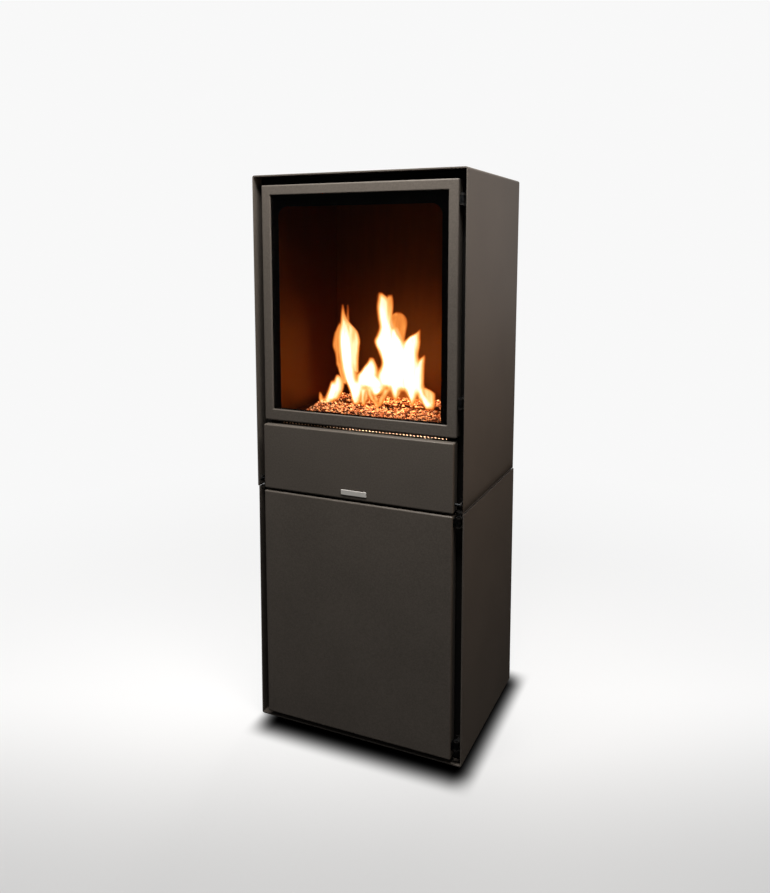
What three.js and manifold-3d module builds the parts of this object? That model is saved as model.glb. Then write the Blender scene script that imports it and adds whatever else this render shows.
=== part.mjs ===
// Bioethanol fireplace: a tall sheet-steel casing in two modules, with a glazed door over the
// fire chamber, a drop-down service flap under it and a storage door at the bottom.
// Millimetres, +Z up, the front faces -Y, the origin is the middle of the footprint on the floor.

import * as THREE from 'three';
import { mergeVertices } from 'three/addons/utils/BufferGeometryUtils.js';
import Module from 'manifold-3d';

const wasm = await Module();
wasm.setup();

// ---------------------------------------------------------------- driving dimensions

// Clearances
const SEAT = 0.3; // between two pieces that touch
const PIN_CLEARANCE = 0.3; // between a pin and its bore, all round

// Casing
const CASING_WIDTH = 495;
const CASING_DEPTH = 385;
const CASING_HEIGHT = 1250;
const CASING_SHEET = 3;
const CASING_BEND = 5; // outer radius of the folded edges
const FLOOR_GAP = 5; // under the bottom sheet
const LOWER_CASING_HEIGHT = 552.5;
const SEAM_GAP = 1; // shadow line between the two modules
const LOWER_BACK_STEP = 4.5; // the lower casing is this much less deep

// Folded plates inside the casing
const PLATE_SHEET = 2;
const PLATE_BEND = 3;
const PLATE_FLANGE = 15;
const PLATE_CORNER = 2.5; // corner radius seen square on
const PLATE_HOLE_CORNER = 1;
const PLATE_HOLE_EDGE = 0.4; // broken edge round an opening
const MODULE_FLANGE = 20; // on the two plates that join the modules
const BACK_PANEL_INSET = 2; // the back panels lie this far inside the casing's rear edge

// Front panels
const PANEL_SHEET = 2.5;
const PANEL_RETURN = 25; // depth of the folded sides
const PANEL_BEND = 3;
const PANEL_CORNER = 3;
const GLAZED_SIDE_GAP = 16.5; // shadow gaps between casing and panels
const FLAP_SIDE_GAP = 19;
const STORAGE_SIDE_GAP = 19.5;
const TOP_GAP = 18.7;
const BOTTOM_GAP = 15.6;
const STORAGE_TOP_DROP = 4.8; // below the lower casing's upper edge
const FLAP_BOTTOM_DROP = 0.6; // below the upper casing's lower edge
const FLAP_HEIGHT = 147.2;
const FLAP_TO_DOOR_GAP = 7.9;
const GLAZED_RECESS = 4; // door face behind the casing's front edge
const FLAP_PROUD = 7; // flap face in front of it
const STORAGE_PROUD = 9;

// Glazed door
const FRAME_BORDER = 21.6;
const FRAME_BOTTOM_BORDER = 25.6;
const FRAME_LIP = 5; // depth of the fold round the opening
const FRAME_LIP_BEND = 2;
const FRAME_HOLE_CORNER = 1;
const GASKET_THICKNESS = 1.2;
const GASKET_WIDTH = 9;
const GASKET_SETBACK = 1; // from the edge of the opening
const GLASS_THICKNESS = 4;
const GLASS_MARGIN = 9; // from the door's outer edge to the pane
const RETAINER_SHEET = 1.5;
const RETAINER_FRONT_LEG = 14;
const RETAINER_BACK_LEG = 12;
const SEAL_RADIUS = 4.2;
const SEAL_INSET = 10.5; // centre of the rope, from the door's outer edge

// Face frames behind the doors
const UPPER_FRAME_GAP = 2; // behind the glazed door's folded sides
const UPPER_FRAME_BAR = 38.2;
const UPPER_FRAME_TOP_BAR = 38.7;
const UPPER_FRAME_BOTTOM_BAR = 30;
const LOWER_FRAME_GAP = 4;
const LOWER_FRAME_BAR = 46.2;
const LOWER_FRAME_TOP_BAR = 20;
const LOWER_FRAME_BOTTOM_BAR = 32;

// Air rail
const RAIL_HEIGHT = 40;
const RAIL_ABOVE_DOOR_EDGE = 17; // upper edge above the glazed door's lower edge
const RAIL_FLANGE = 16;
const AIR_HOLE_RADIUS = 2.2;
const AIR_HOLE_PITCH = 8;
const AIR_HOLE_BELOW_DOOR_EDGE = 9.5; // in sight through the gap under the door

// Fire chamber
const CHAMBER_SIDE_SPACE = 39.5; // from the side walls' faces to the casing's inner faces
const CHAMBER_BACK_SPACE = 70.5; // from the back wall's face to the casing's rear edge
const WALL_FLANGE = 15;
const CHAMBER_FLOOR_DROP = 26.6; // floor top below the lower edge of the door's opening
const CHAMBER_FLOOR_FLANGE = 8;
const ROOF_ABOVE_OPENING = 2.3;
const HEARTH_RISE = 10; // hearth plate top above the chamber floor
const AIR_SLOT_COUNT = 6;
const AIR_SLOT_WIDTH = 8;
const AIR_SLOT_BRIDGE = 12; // metal left between two slots
const AIR_SLOT_SIDE_MARGIN = 25; // from the side wall to the first slot
const AIR_SLOT_SETBACK = 16; // from the front of the plate to the slots' middle

// Burner
const BURNER_BACK_SPACE = 117; // from the middle of the burner to the back wall
const TANK_SIDE_GAP = 13; // from the tank's flange to the side walls
const TANK_WIDTH = 80;
const TANK_DEPTH = 60;
const TANK_WALL = 2;
const TANK_LID = 1.5;
const TANK_CORNER = 12;
const TANK_FLANGE = 16;
const TANK_HOLE_CLEARANCE = 1; // between the tank and the hole it hangs in
const MOUTH_END_INSET = 11; // from the tank's end to the mouth
const MOUTH_WIDTH = 44;
const WOOL_BELOW_LID = 12;
const SLIDER_OVERHANG = 8; // past the tank at each end
const SLIDER_WIDTH = 52;
const SLIDER_SHEET = 1.5;
const SLIDER_TRAVEL = 54;
const SLIDER_CORNER = 3;
const TAB_THICKNESS = 2;
const TAB_WIDTH = 12;
const TAB_HEIGHT = 18;
const TAB_FROM_END = 6;
const TAB_HOLE_RADIUS = 2.5;
const TAB_SLOT_CLEARANCE = 1;
const GUIDE_SHEET = 1.5;
const GUIDE_LIP = 3.5;
const GUIDE_FOOT = 6;
const GUIDE_LENGTH = 114;
const BED_MARGIN_SIDE = 7; // from the hearth plate's edge to the pebbles
const BED_MARGIN_FRONT = 26;
const BED_MARGIN_BACK = 8;
const BED_CORNER = 30;
const BED_HEIGHT = 6;
const BED_SLOPE = 12;
const BED_EDGE_STEP = 1;
const BED_MOUTH_MARGIN = 3;

// Hinges of the two doors that swing
const HINGE_PIN_RADIUS = 2.5;
const HINGE_PIN_HEAD = 3.8;
const HINGE_PIN_HEAD_HEIGHT = 2;
const HINGE_X_FROM_CASING = 9.5; // pin axis from the casing's inner face
const GLAZED_AXIS_DEPTH = 3; // pin axis behind the door's face
const STORAGE_AXIS_DEPTH = 11;
const KNUCKLE_RADIUS = 4.5;
const KNUCKLE_HEIGHT = 16;
const LUG_RADIUS = 5;
const LUG_SHEET = 3;
const LUG_NECK_RIGHT = 7;
const LUG_NECK_LEFT = 1;
const BRACKET_SHEET = 2.5;
const BRACKET_LEFT = 5.5;
const BRACKET_MARGIN = 2;
const ARM_SHEET = 2.5;
const ARM_WEB = 4;
const ARM_FRONT_SETBACK = 1; // arm plate behind the door's bend
const ARM_BACK_SETBACK = 4; // and in front of the door's rear edge
const GLAZED_HINGE_TOP_DROP = 41;
const GLAZED_HINGE_BOTTOM_RISE = 72;
const STORAGE_HINGE_TOP_DROP = 14;
const STORAGE_HINGE_BOTTOM_RISE = 29;

// Pivots of the flap
const FLAP_AXIS_DEPTH = 13;
const FLAP_AXIS_RISE = 17;
const FLAP_PIN_HEAD = 4;
const FLAP_BRACKET_SHEET = 3;
const FLAP_BRACKET_FROM_CASING = 3.5;
const FLAP_BRACKET_HEIGHT = 12;
const FLAP_BRACKET_FOOT = 12;

// Badge plate
const BADGE_WIDTH = 61;
const BADGE_HEIGHT = 11;
const BADGE_THICKNESS = 1.2;
const BADGE_RISE = 9.6; // above the flap's lower edge
const BADGE_BEVEL = 0.4;
const BADGE_CORNER = 1.5;

// Catches
const DOOR_MAGNET_WIDTH = 8;
const DOOR_MAGNET_HEIGHT = 60;
const FLAP_MAGNET_WIDTH = 14;
const FLAP_MAGNET_HEIGHT = 12;
const FLAP_MAGNET_SETBACK = 3.5; // from the flap's side
const BUMPER_RADIUS = 4;
const BUMPER_FROM_END = 70;
const LATCH_HEIGHT = 360; // above the floor
const LATCH_FROM_EDGE = 16; // plunger axis from the storage door's free edge
const LATCH_BODY_WIDTH = 18;
const LATCH_BODY_LENGTH = 44;
const PLUNGER_RADIUS = 4;
const PLUNGER_TRAVEL = 3;
const PLUNGER_TIP = 1;
const STRIKE_WIDTH = 16;
const STRIKE_HEIGHT = 30;
const STRIKE_SHEET = 1.5;
const STRIKE_FOOT = 4;

// Storage compartment
const SHELF_HEIGHT = 283; // top of the shelf above the casing's lower edge
const SHELF_SIDE_GAP = 6;
const SHELF_FLANGE = 18;
const RAIL_LEG = 18;

// Levelling feet
const FOOT_RADIUS = 20;
const FOOT_THICKNESS = 4;
const FOOT_STEM_RADIUS = 4;
const FOOT_STEM_TOP = 26;
const FOOT_CHAMFER = 1;
const FOOT_FROM_SIDE = 42.5;
const FOOT_FROM_FRONT = 58;
const FOOT_FROM_BACK = 47;
const WELD_NUT_RADIUS = 7.5;
const WELD_NUT_HEIGHT = 7;

// Outlet slots in the upper back panel
const OUTLET_ROWS = 2;
const OUTLET_COUNT = 6;
const OUTLET_WIDTH = 6;
const OUTLET_BRIDGE = 16;
const OUTLET_SIDE_MARGIN = 54.2; // from the panel's side to the first slot
const OUTLET_ROW_PITCH = 16;
const OUTLET_TOP_DROP = 50;

// Facets
const BEND_STEPS = 3;
const CORNER_STEPS = 3;
const PLATE_CORNER_STEPS = 2; // on the plates inside the casing
const SLOT_END_STEPS = 2;
const ROUND_STEPS = 16;
const EYE_STEPS = 12;
const AIR_HOLE_STEPS = 6;
const SEAL_STEPS = 8;
const NUT_SIDES = 6;
const SMALLEST_RADIUS = 0.2;
const MERGE_TOLERANCE = 1e-4;

// ---------------------------------------------------------------- places worked out from them

const innerHalfWidth = CASING_WIDTH / 2 - CASING_SHEET;
const casingFront = -(CASING_DEPTH - STORAGE_PROUD) / 2;
const casingBack = casingFront + CASING_DEPTH;
const casingTop = FLOOR_GAP + CASING_HEIGHT;
const lowerTop = FLOOR_GAP + LOWER_CASING_HEIGHT;
const upperBottom = lowerTop + SEAM_GAP;
const lowerBack = casingBack - LOWER_BACK_STEP;
const innerTop = casingTop - CASING_SHEET;
const innerBottom = FLOOR_GAP + CASING_SHEET;
const plateHalfWidth = innerHalfWidth - SEAT;

const glazed = {
  face: casingFront + GLAZED_RECESS,
  halfWidth: innerHalfWidth - GLAZED_SIDE_GAP,
  bottom: upperBottom - FLAP_BOTTOM_DROP + FLAP_HEIGHT + FLAP_TO_DOOR_GAP,
  top: innerTop - TOP_GAP,
};
const flap = {
  face: casingFront - FLAP_PROUD,
  halfWidth: innerHalfWidth - FLAP_SIDE_GAP,
  bottom: upperBottom - FLAP_BOTTOM_DROP,
  top: upperBottom - FLAP_BOTTOM_DROP + FLAP_HEIGHT,
};
const storage = {
  face: casingFront - STORAGE_PROUD,
  halfWidth: innerHalfWidth - STORAGE_SIDE_GAP,
  bottom: FLOOR_GAP + BOTTOM_GAP,
  top: lowerTop - STORAGE_TOP_DROP,
};
const opening = {
  halfWidth: glazed.halfWidth - FRAME_BORDER,
  bottom: glazed.bottom + FRAME_BOTTOM_BORDER,
  top: glazed.top - FRAME_BORDER,
};

const upperFrameFront = glazed.face + PANEL_RETURN + UPPER_FRAME_GAP;
const lowerFrameFront = storage.face + PANEL_RETURN + LOWER_FRAME_GAP;
const upperFrameOpening = {
  halfWidth: plateHalfWidth - UPPER_FRAME_BAR,
  bottom: upperBottom + UPPER_FRAME_BOTTOM_BAR,
  top: innerTop - UPPER_FRAME_TOP_BAR,
};
const modulePlaneZ = (lowerTop + upperBottom) / 2;

const chamberHalfWidth = innerHalfWidth - CHAMBER_SIDE_SPACE;
const chamberFront = upperFrameFront + PLATE_SHEET + SEAT;
const backWallFace = casingBack - CHAMBER_BACK_SPACE;
const chamberBack = backWallFace + WALL_FLANGE;
const burnerY = backWallFace - BURNER_BACK_SPACE;
const chamberFloorTop = opening.bottom - CHAMBER_FLOOR_DROP;
const roofBottom = opening.top + ROOF_ABOVE_OPENING;
const hearthTop = chamberFloorTop + HEARTH_RISE;
const chamberOuterHalfWidth = chamberHalfWidth + PLATE_SHEET + WALL_FLANGE;
const hearthHalfWidth = chamberHalfWidth - SEAT;
const railTop = glazed.bottom + RAIL_ABOVE_DOOR_EDGE;

const lidTop = chamberFloorTop + SEAT + TANK_LID;
const tankHalfLength = chamberHalfWidth - TANK_SIDE_GAP - TANK_FLANGE;
const mouthHalfLength = tankHalfLength - MOUTH_END_INSET;
const sliderHalfLength = tankHalfLength + SLIDER_OVERHANG;
const sliderBottom = lidTop + SEAT;
const tabX = sliderHalfLength - TAB_FROM_END;

const hingeX = innerHalfWidth - HINGE_X_FROM_CASING;

// ---------------------------------------------------------------- materials

const finish = (color, roughness, metalness, more = {}) =>
  new THREE.MeshStandardMaterial({ color, roughness, metalness, ...more });
const casingPaint = finish(0x4b4844, 0.55, 0.3);
const blackPaint = finish(0x161514, 0.7, 0.2);
const chamberSteel = finish(0x2a1a12, 0.75, 0.2);
const stainless = finish(0xa9a8a4, 0.3, 0.9);
const zincPlate = finish(0x9a9c9d, 0.4, 0.8);
const paneGlass = finish(0x14110f, 0.05, 0, { transparent: true, opacity: 0.25 });
const ropeFibre = finish(0x2b2a29, 0.95, 0);
const woolFibre = finish(0xe2dfd6, 1, 0);
const pebbleStone = finish(0x9a5a34, 0.9, 0);
const magnetFerrite = finish(0x2c2c2e, 0.6, 0.3);
const badgeMetal = finish(0xb9b8b3, 0.35, 0.9);
const rubber = finish(0x1a1a1a, 0.9, 0);
const nylon = finish(0x232323, 0.6, 0);

// ---------------------------------------------------------------- geometry helpers

// Positions only, shared vertices merged.
function bare(geometry) {
  const source = geometry.clone();
  source.deleteAttribute('normal');
  source.deleteAttribute('uv');
  return mergeVertices(source, MERGE_TOLERANCE);
}

function toSolid(geometry) {
  const merged = bare(geometry);
  return new wasm.Manifold(new wasm.Mesh({
    numProp: 3,
    vertProperties: new Float32Array(merged.attributes.position.array),
    triVerts: new Uint32Array(merged.index.array),
  }));
}

function toGeometry(solid) {
  const mesh = solid.getMesh();
  const geometry = new THREE.BufferGeometry();
  geometry.setAttribute('position', new THREE.BufferAttribute(mesh.vertProperties, 3));
  geometry.setIndex(new THREE.BufferAttribute(mesh.triVerts, 1));
  return geometry;
}

function join(...geometries) {
  return toGeometry(geometries.map(toSolid).reduce((all, next) => all.add(next)));
}

function cut(geometry, tools) {
  return toGeometry(tools.map(toSolid).reduce((rest, tool) => rest.subtract(tool), toSolid(geometry)));
}

function block([x0, x1], [y0, y1], [z0, z1]) {
  const geometry = new THREE.BoxGeometry(x1 - x0, y1 - y0, z1 - z0);
  return geometry.translate((x0 + x1) / 2, (y0 + y1) / 2, (z0 + z1) / 2);
}

// A closed outline of corner points, extruded upwards.
function prism(points, z0, z1) {
  const shape = new THREE.Shape(points.map(([x, y]) => new THREE.Vector2(x, y)));
  const geometry = new THREE.ExtrudeGeometry(shape, { depth: z1 - z0, bevelEnabled: false });
  return geometry.translate(0, 0, z0);
}

// Local Z of an upright extrusion becomes -Y, local Y becomes Z.
const faceForward = (geometry) => geometry.rotateX(Math.PI / 2);

// Cylinders along each axis.
function rodZ(radius, z0, z1, x = 0, y = 0, sides = ROUND_STEPS) {
  const geometry = new THREE.CylinderGeometry(radius, radius, z1 - z0, sides).rotateX(Math.PI / 2);
  return geometry.translate(x, y, (z0 + z1) / 2);
}

function rodY(radius, y0, y1, x = 0, z = 0, sides = ROUND_STEPS) {
  const geometry = new THREE.CylinderGeometry(radius, radius, y1 - y0, sides);
  return geometry.translate(x, (y0 + y1) / 2, z);
}

function rodX(radius, x0, x1, y = 0, z = 0, sides = ROUND_STEPS) {
  const geometry = new THREE.CylinderGeometry(radius, radius, x1 - x0, sides).rotateZ(Math.PI / 2);
  return geometry.translate((x0 + x1) / 2, y, z);
}

// A revolved solid about Z from a profile of [radius, height] that starts and ends on the axis.
function turned(profile) {
  const points = profile.map(([radius, height]) => new THREE.Vector2(radius, height));
  return facingOut(bare(new THREE.LatheGeometry(points, ROUND_STEPS).rotateX(Math.PI / 2)));
}

// A slab with rounded corners in plan, between two heights.
function slab({ halfX, halfY, corner, y = 0, x = 0, steps = CORNER_STEPS }, z0, z1) {
  const shape = new THREE.Shape();
  const r = Math.min(corner, halfX - MERGE_TOLERANCE, halfY - MERGE_TOLERANCE);
  shape.absarc(halfX - r, halfY - r, r, 0, Math.PI / 2);
  shape.absarc(-halfX + r, halfY - r, r, Math.PI / 2, Math.PI);
  shape.absarc(-halfX + r, -halfY + r, r, Math.PI, 1.5 * Math.PI);
  shape.absarc(halfX - r, -halfY + r, r, 1.5 * Math.PI, 2 * Math.PI);
  const options = { depth: z1 - z0, bevelEnabled: false, curveSegments: steps };
  return new THREE.ExtrudeGeometry(shape, options).translate(x, y, z0);
}

// A loop round a rectangle with round corners, drawn in X and Z, `inset` inside its outline.
function loop({ left, right, bottom, top, corner, steps = CORNER_STEPS }, inset, y) {
  const radius = Math.max(corner - inset, SMALLEST_RADIUS);
  const centres = [
    [right - inset - radius, top - inset - radius],
    [left + inset + radius, top - inset - radius],
    [left + inset + radius, bottom + inset + radius],
    [right - inset - radius, bottom + inset + radius],
  ];
  return centres.flatMap(([x, z], quarter) =>
    Array.from({ length: steps + 1 }, (_, step) => {
      const angle = (quarter + step / steps) * Math.PI / 2;
      return [x + radius * Math.cos(angle), y, z + radius * Math.sin(angle)];
    }));
}

// Skins a row of loops. A closed row makes a ring, an open one gets flat ends.
function loft(loops, closed) {
  const count = loops[0].length;
  const positions = loops.flat(2);
  const triangles = [];
  const spans = closed ? loops.length : loops.length - 1;
  for (let row = 0; row < spans; row++) {
    const next = (row + 1) % loops.length;
    for (let k = 0; k < count; k++) {
      const a = row * count + k;
      const b = row * count + (k + 1) % count;
      const c = next * count + k;
      const d = next * count + (k + 1) % count;
      triangles.push(a, b, d, a, d, c);
    }
  }
  if (!closed) {
    const last = (loops.length - 1) * count;
    for (let k = 1; k < count - 1; k++) {
      triangles.push(0, k + 1, k);
      triangles.push(last, last + k, last + k + 1);
    }
  }
  const geometry = new THREE.BufferGeometry();
  geometry.setAttribute('position', new THREE.Float32BufferAttribute(positions, 3));
  geometry.setIndex(triangles);
  return facingOut(geometry);
}

// Turns a closed surface the right way round, going by the sign of its volume.
function facingOut(geometry) {
  const { position } = geometry.attributes;
  const index = geometry.index.array;
  const [a, b, c] = [new THREE.Vector3(), new THREE.Vector3(), new THREE.Vector3()];
  let volume = 0;
  for (let k = 0; k < index.length; k += 3) {
    a.fromBufferAttribute(position, index[k]);
    b.fromBufferAttribute(position, index[k + 1]);
    c.fromBufferAttribute(position, index[k + 2]);
    volume += a.dot(b.cross(c));
  }
  if (volume < 0) {
    for (let k = 0; k < index.length; k += 3) {
      [index[k + 1], index[k + 2]] = [index[k + 2], index[k + 1]];
    }
  }
  return geometry;
}

// The bend between a face at y = 0 and a side, as [inset, depth] from the side to the face.
function bend(outerRadius, inset, thickness) {
  const radius = Math.max(outerRadius - thickness, SMALLEST_RADIUS);
  const centre = inset + radius;
  return Array.from({ length: BEND_STEPS + 1 }, (_, step) => {
    const angle = (step / BEND_STEPS) * Math.PI / 2;
    return [centre - radius * Math.cos(angle), thickness + radius - radius * Math.sin(angle)];
  });
}

// A sheet folded back on all four sides; its face lies at y = 0 and looks towards -Y.
function foldedTray(rectangle, { depth, sheet, radius }) {
  const outside = [[0, depth], ...bend(radius, 0, 0)];
  const inside = [[sheet, depth], ...bend(radius, sheet, sheet)];
  const profile = [...inside.reverse(), ...outside];
  return loft(profile.map(([inset, y]) => loop(rectangle, inset, y)), false);
}

// The same with an opening in its face, folded back by `lip` round the opening.
function foldedFrame(rectangle, hole, { depth, sheet, radius, lip, lipRadius }) {
  const outside = [[0, depth], ...bend(radius, 0, 0)];
  const inside = [[sheet, depth], ...bend(radius, sheet, sheet)];
  const lipOutside = bend(lipRadius, 0, 0).map(([inset, y]) => [-inset, y]).reverse();
  const edge = [[0, lip], [-sheet, lip]];
  const lipInside = lip > sheet ? [[-sheet, sheet]] : [];
  return loft([
    ...outside.map(([inset, y]) => loop(rectangle, inset, y)),
    ...[...lipOutside, ...edge, ...lipInside].map(([inset, y]) => loop(hole, inset, y)),
    ...inside.reverse().map(([inset, y]) => loop(rectangle, inset, y)),
  ], true);
}

// Lays a shape that faces forward on its back: its face then looks up, its local Z is world Y.
const faceUp = (geometry) => geometry.rotateX(-Math.PI / 2);
// Lays it on its face: the face looks down, and its local Z is world -Y.
const faceDown = (geometry) => geometry.rotateX(Math.PI / 2);
// Turns it to the rear: its local X is world -X.
const faceBack = (geometry) => geometry.rotateZ(Math.PI);

const rectangle = (halfWidth, bottom, top, corner, steps = CORNER_STEPS) =>
  ({ left: -halfWidth, right: halfWidth, bottom, top, corner, steps });

// The outline and the fold of every plate inside the casing.
const plate = (halfWidth, bottom, top) =>
  rectangle(halfWidth, bottom, top, PLATE_CORNER, PLATE_CORNER_STEPS);
const plateFold = (depth) => ({ depth, sheet: PLATE_SHEET, radius: PLATE_BEND });

// A row of slots with round ends that share a span, standing through a flat plate.
function slotRow({ count, halfSpan, bridge, width, y }, z0, z1) {
  const length = (2 * halfSpan - (count - 1) * bridge) / count;
  return Array.from({ length: count }, (_, k) => {
    const x = (k - (count - 1) / 2) * (length + bridge);
    const end = { corner: width / 2, steps: SLOT_END_STEPS };
    return slab({ halfX: length / 2, halfY: width / 2, x, y, ...end }, z0, z1);
  });
}

const part = new THREE.Group();
function place(parent, name, geometry, material, position = [0, 0, 0]) {
  const mesh = new THREE.Mesh(geometry, material);
  mesh.name = name;
  mesh.position.set(...position);
  parent.add(mesh);
  return mesh;
}
function assembly(parent, position = [0, 0, 0]) {
  const group = new THREE.Group();
  group.position.set(...position);
  parent.add(group);
  return group;
}

// ---------------------------------------------------------------- casing

// The wrapper's outline seen from the front: three sides of sheet with two bends.
// It is drawn open at the bottom, and upside down for the lower module.
function wrapper(height, depth) {
  const half = CASING_WIDTH / 2;
  const inner = half - CASING_SHEET;
  const innerBend = CASING_BEND - CASING_SHEET;
  const shape = new THREE.Shape();
  shape.moveTo(half, 0);
  shape.absarc(half - CASING_BEND, height - CASING_BEND, CASING_BEND, 0, Math.PI / 2);
  shape.absarc(-half + CASING_BEND, height - CASING_BEND, CASING_BEND, Math.PI / 2, Math.PI);
  shape.lineTo(-half, 0);
  shape.lineTo(-inner, 0);
  const top = height - CASING_SHEET - innerBend;
  shape.absarc(-inner + innerBend, top, innerBend, Math.PI, Math.PI / 2, true);
  shape.absarc(inner - innerBend, top, innerBend, Math.PI / 2, 0, true);
  shape.lineTo(inner, 0);
  const options = { depth, bevelEnabled: false, curveSegments: BEND_STEPS };
  return faceForward(new THREE.ExtrudeGeometry(shape, options));
}

const casing = assembly(part);
place(casing, 'upper_casing', wrapper(casingTop - upperBottom, CASING_DEPTH), casingPaint,
  [0, casingBack, upperBottom]);

const footX = CASING_WIDTH / 2 - FOOT_FROM_SIDE;
const footPlaces = [
  ['front_left', -footX, casingFront + FOOT_FROM_FRONT],
  ['front_right', footX, casingFront + FOOT_FROM_FRONT],
  ['rear_left', -footX, casingBack - FOOT_FROM_BACK],
  ['rear_right', footX, casingBack - FOOT_FROM_BACK],
];

function lowerCasing() {
  const sheet = wrapper(LOWER_CASING_HEIGHT, lowerBack - casingFront).rotateY(Math.PI)
    .translate(0, lowerBack, lowerTop);
  const nuts = footPlaces.map(([, x, y]) => {
    const bottom = FLOOR_GAP + CASING_SHEET / 2;
    return rodZ(WELD_NUT_RADIUS, bottom, innerBottom + WELD_NUT_HEIGHT, x, y, NUT_SIDES);
  });
  const holes = footPlaces.map(([, x, y]) => {
    const radius = FOOT_STEM_RADIUS + PIN_CLEARANCE;
    return rodZ(radius, 0, innerBottom + 2 * WELD_NUT_HEIGHT, x, y);
  });
  return cut(join(sheet, ...nuts), holes);
}
place(casing, 'lower_casing', lowerCasing(), casingPaint);

// Levelling feet: a pad with a chamfered rim on a threaded stem, shown as a plain stem.
function levellingFoot() {
  return turned([
    [0, 0],
    [FOOT_RADIUS - FOOT_CHAMFER / 2, 0],
    [FOOT_RADIUS, FOOT_CHAMFER / 2],
    [FOOT_RADIUS, FOOT_THICKNESS - FOOT_CHAMFER],
    [FOOT_RADIUS - FOOT_CHAMFER, FOOT_THICKNESS],
    [FOOT_STEM_RADIUS, FOOT_THICKNESS],
    [FOOT_STEM_RADIUS, FOOT_STEM_TOP - FOOT_CHAMFER],
    [FOOT_STEM_RADIUS - FOOT_CHAMFER, FOOT_STEM_TOP],
    [0, FOOT_STEM_TOP],
  ]);
}
for (const [corner, x, y] of footPlaces) {
  place(casing, `levelling_foot_${corner}`, levellingFoot(), nylon, [x, y, 0]);
}

// Back panels: folded trays whose sides point forward between the casing's walls.
function backPanel(bottom, top, slots) {
  const tray = foldedTray(plate(plateHalfWidth, bottom, top), plateFold(PLATE_FLANGE));
  return faceBack(slots.length ? cut(tray, slots) : tray);
}
const upperPanelBack = casingBack - BACK_PANEL_INSET;
const lowerPanelBack = lowerBack - BACK_PANEL_INSET;
const outletSlots = Array.from({ length: OUTLET_ROWS }, (_, row) => {
  const height = innerTop - OUTLET_TOP_DROP - row * OUTLET_ROW_PITCH;
  const slots = slotRow({
    count: OUTLET_COUNT, halfSpan: plateHalfWidth - OUTLET_SIDE_MARGIN, bridge: OUTLET_BRIDGE,
    width: OUTLET_WIDTH, y: height,
  }, -PLATE_FLANGE, PLATE_FLANGE);
  return slots.map(faceForward);
}).flat();
place(casing, 'upper_back_panel',
  backPanel(modulePlaneZ + PLATE_SHEET + 2 * SEAT, innerTop - SEAT, outletSlots), casingPaint,
  [0, upperPanelBack, 0]);
place(casing, 'lower_back_panel',
  backPanel(innerBottom + SEAT, modulePlaneZ - PLATE_SHEET - 2 * SEAT, []), casingPaint,
  [0, lowerPanelBack, 0]);

// Face frames: black folded plates behind the doors, which stop them and carry their hinges.
function faceFrame(bottom, top, hole) {
  return foldedFrame(plate(plateHalfWidth, bottom, top), hole, {
    ...plateFold(PLATE_FLANGE), lip: PLATE_SHEET, lipRadius: PLATE_HOLE_EDGE,
  });
}
const upperHole = rectangle(upperFrameOpening.halfWidth, upperFrameOpening.bottom,
  upperFrameOpening.top, PLATE_HOLE_CORNER, PLATE_CORNER_STEPS);
place(casing, 'upper_face_frame',
  faceFrame(modulePlaneZ + PLATE_SHEET + 2 * SEAT, innerTop - SEAT, upperHole), blackPaint,
  [0, upperFrameFront, 0]);

const latchX = -storage.halfWidth + LATCH_FROM_EDGE;
const lowerHole = rectangle(plateHalfWidth - LOWER_FRAME_BAR, innerBottom + LOWER_FRAME_BOTTOM_BAR,
  lowerTop - LOWER_FRAME_TOP_BAR, PLATE_HOLE_CORNER, PLATE_CORNER_STEPS);
const plungerHole = rodY(PLUNGER_RADIUS + PIN_CLEARANCE, -PLATE_FLANGE, PLATE_FLANGE, latchX, LATCH_HEIGHT);
place(casing, 'lower_face_frame',
  cut(faceFrame(innerBottom + SEAT, modulePlaneZ - PLATE_SHEET - 2 * SEAT, lowerHole), [plungerHole]),
  blackPaint, [0, lowerFrameFront, 0]);

// The two plates that join the modules, flanges away from each other.
place(casing, 'lower_top_plate', faceUp(foldedTray(
  plate(plateHalfWidth, lowerFrameFront + PLATE_FLANGE + SEAT, lowerPanelBack - PLATE_FLANGE - SEAT),
  plateFold(MODULE_FLANGE))), blackPaint, [0, 0, modulePlaneZ - SEAT / 2]);
place(casing, 'upper_floor_plate', faceDown(foldedTray(
  plate(plateHalfWidth, PLATE_FLANGE + SEAT - upperPanelBack, -upperFrameFront - PLATE_FLANGE - SEAT),
  plateFold(MODULE_FLANGE))), blackPaint, [0, 0, modulePlaneZ + SEAT / 2]);

// ---------------------------------------------------------------- fire chamber

const chamber = assembly(part);

// Air rail: an angle across the face frame, with one row of air holes under the door.
function airRail() {
  const half = upperFrameOpening.halfWidth - SEAT;
  const bottom = railTop - RAIL_HEIGHT;
  const angle = join(
    block([-half, half], [0, PLATE_SHEET], [bottom, railTop]),
    block([-half, half], [0, RAIL_FLANGE], [bottom, bottom + PLATE_SHEET]),
  );
  const count = Math.floor((2 * half - AIR_HOLE_PITCH) / AIR_HOLE_PITCH);
  const height = glazed.bottom - AIR_HOLE_BELOW_DOOR_EDGE;
  const holes = Array.from({ length: count }, (_, k) => {
    const x = (k - (count - 1) / 2) * AIR_HOLE_PITCH;
    return rodY(AIR_HOLE_RADIUS, -PLATE_SHEET, 2 * PLATE_SHEET, x, height, AIR_HOLE_STEPS);
  });
  return cut(angle, holes);
}
place(chamber, 'air_rail', airRail(), blackPaint, [0, upperFrameFront, 0]);

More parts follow.
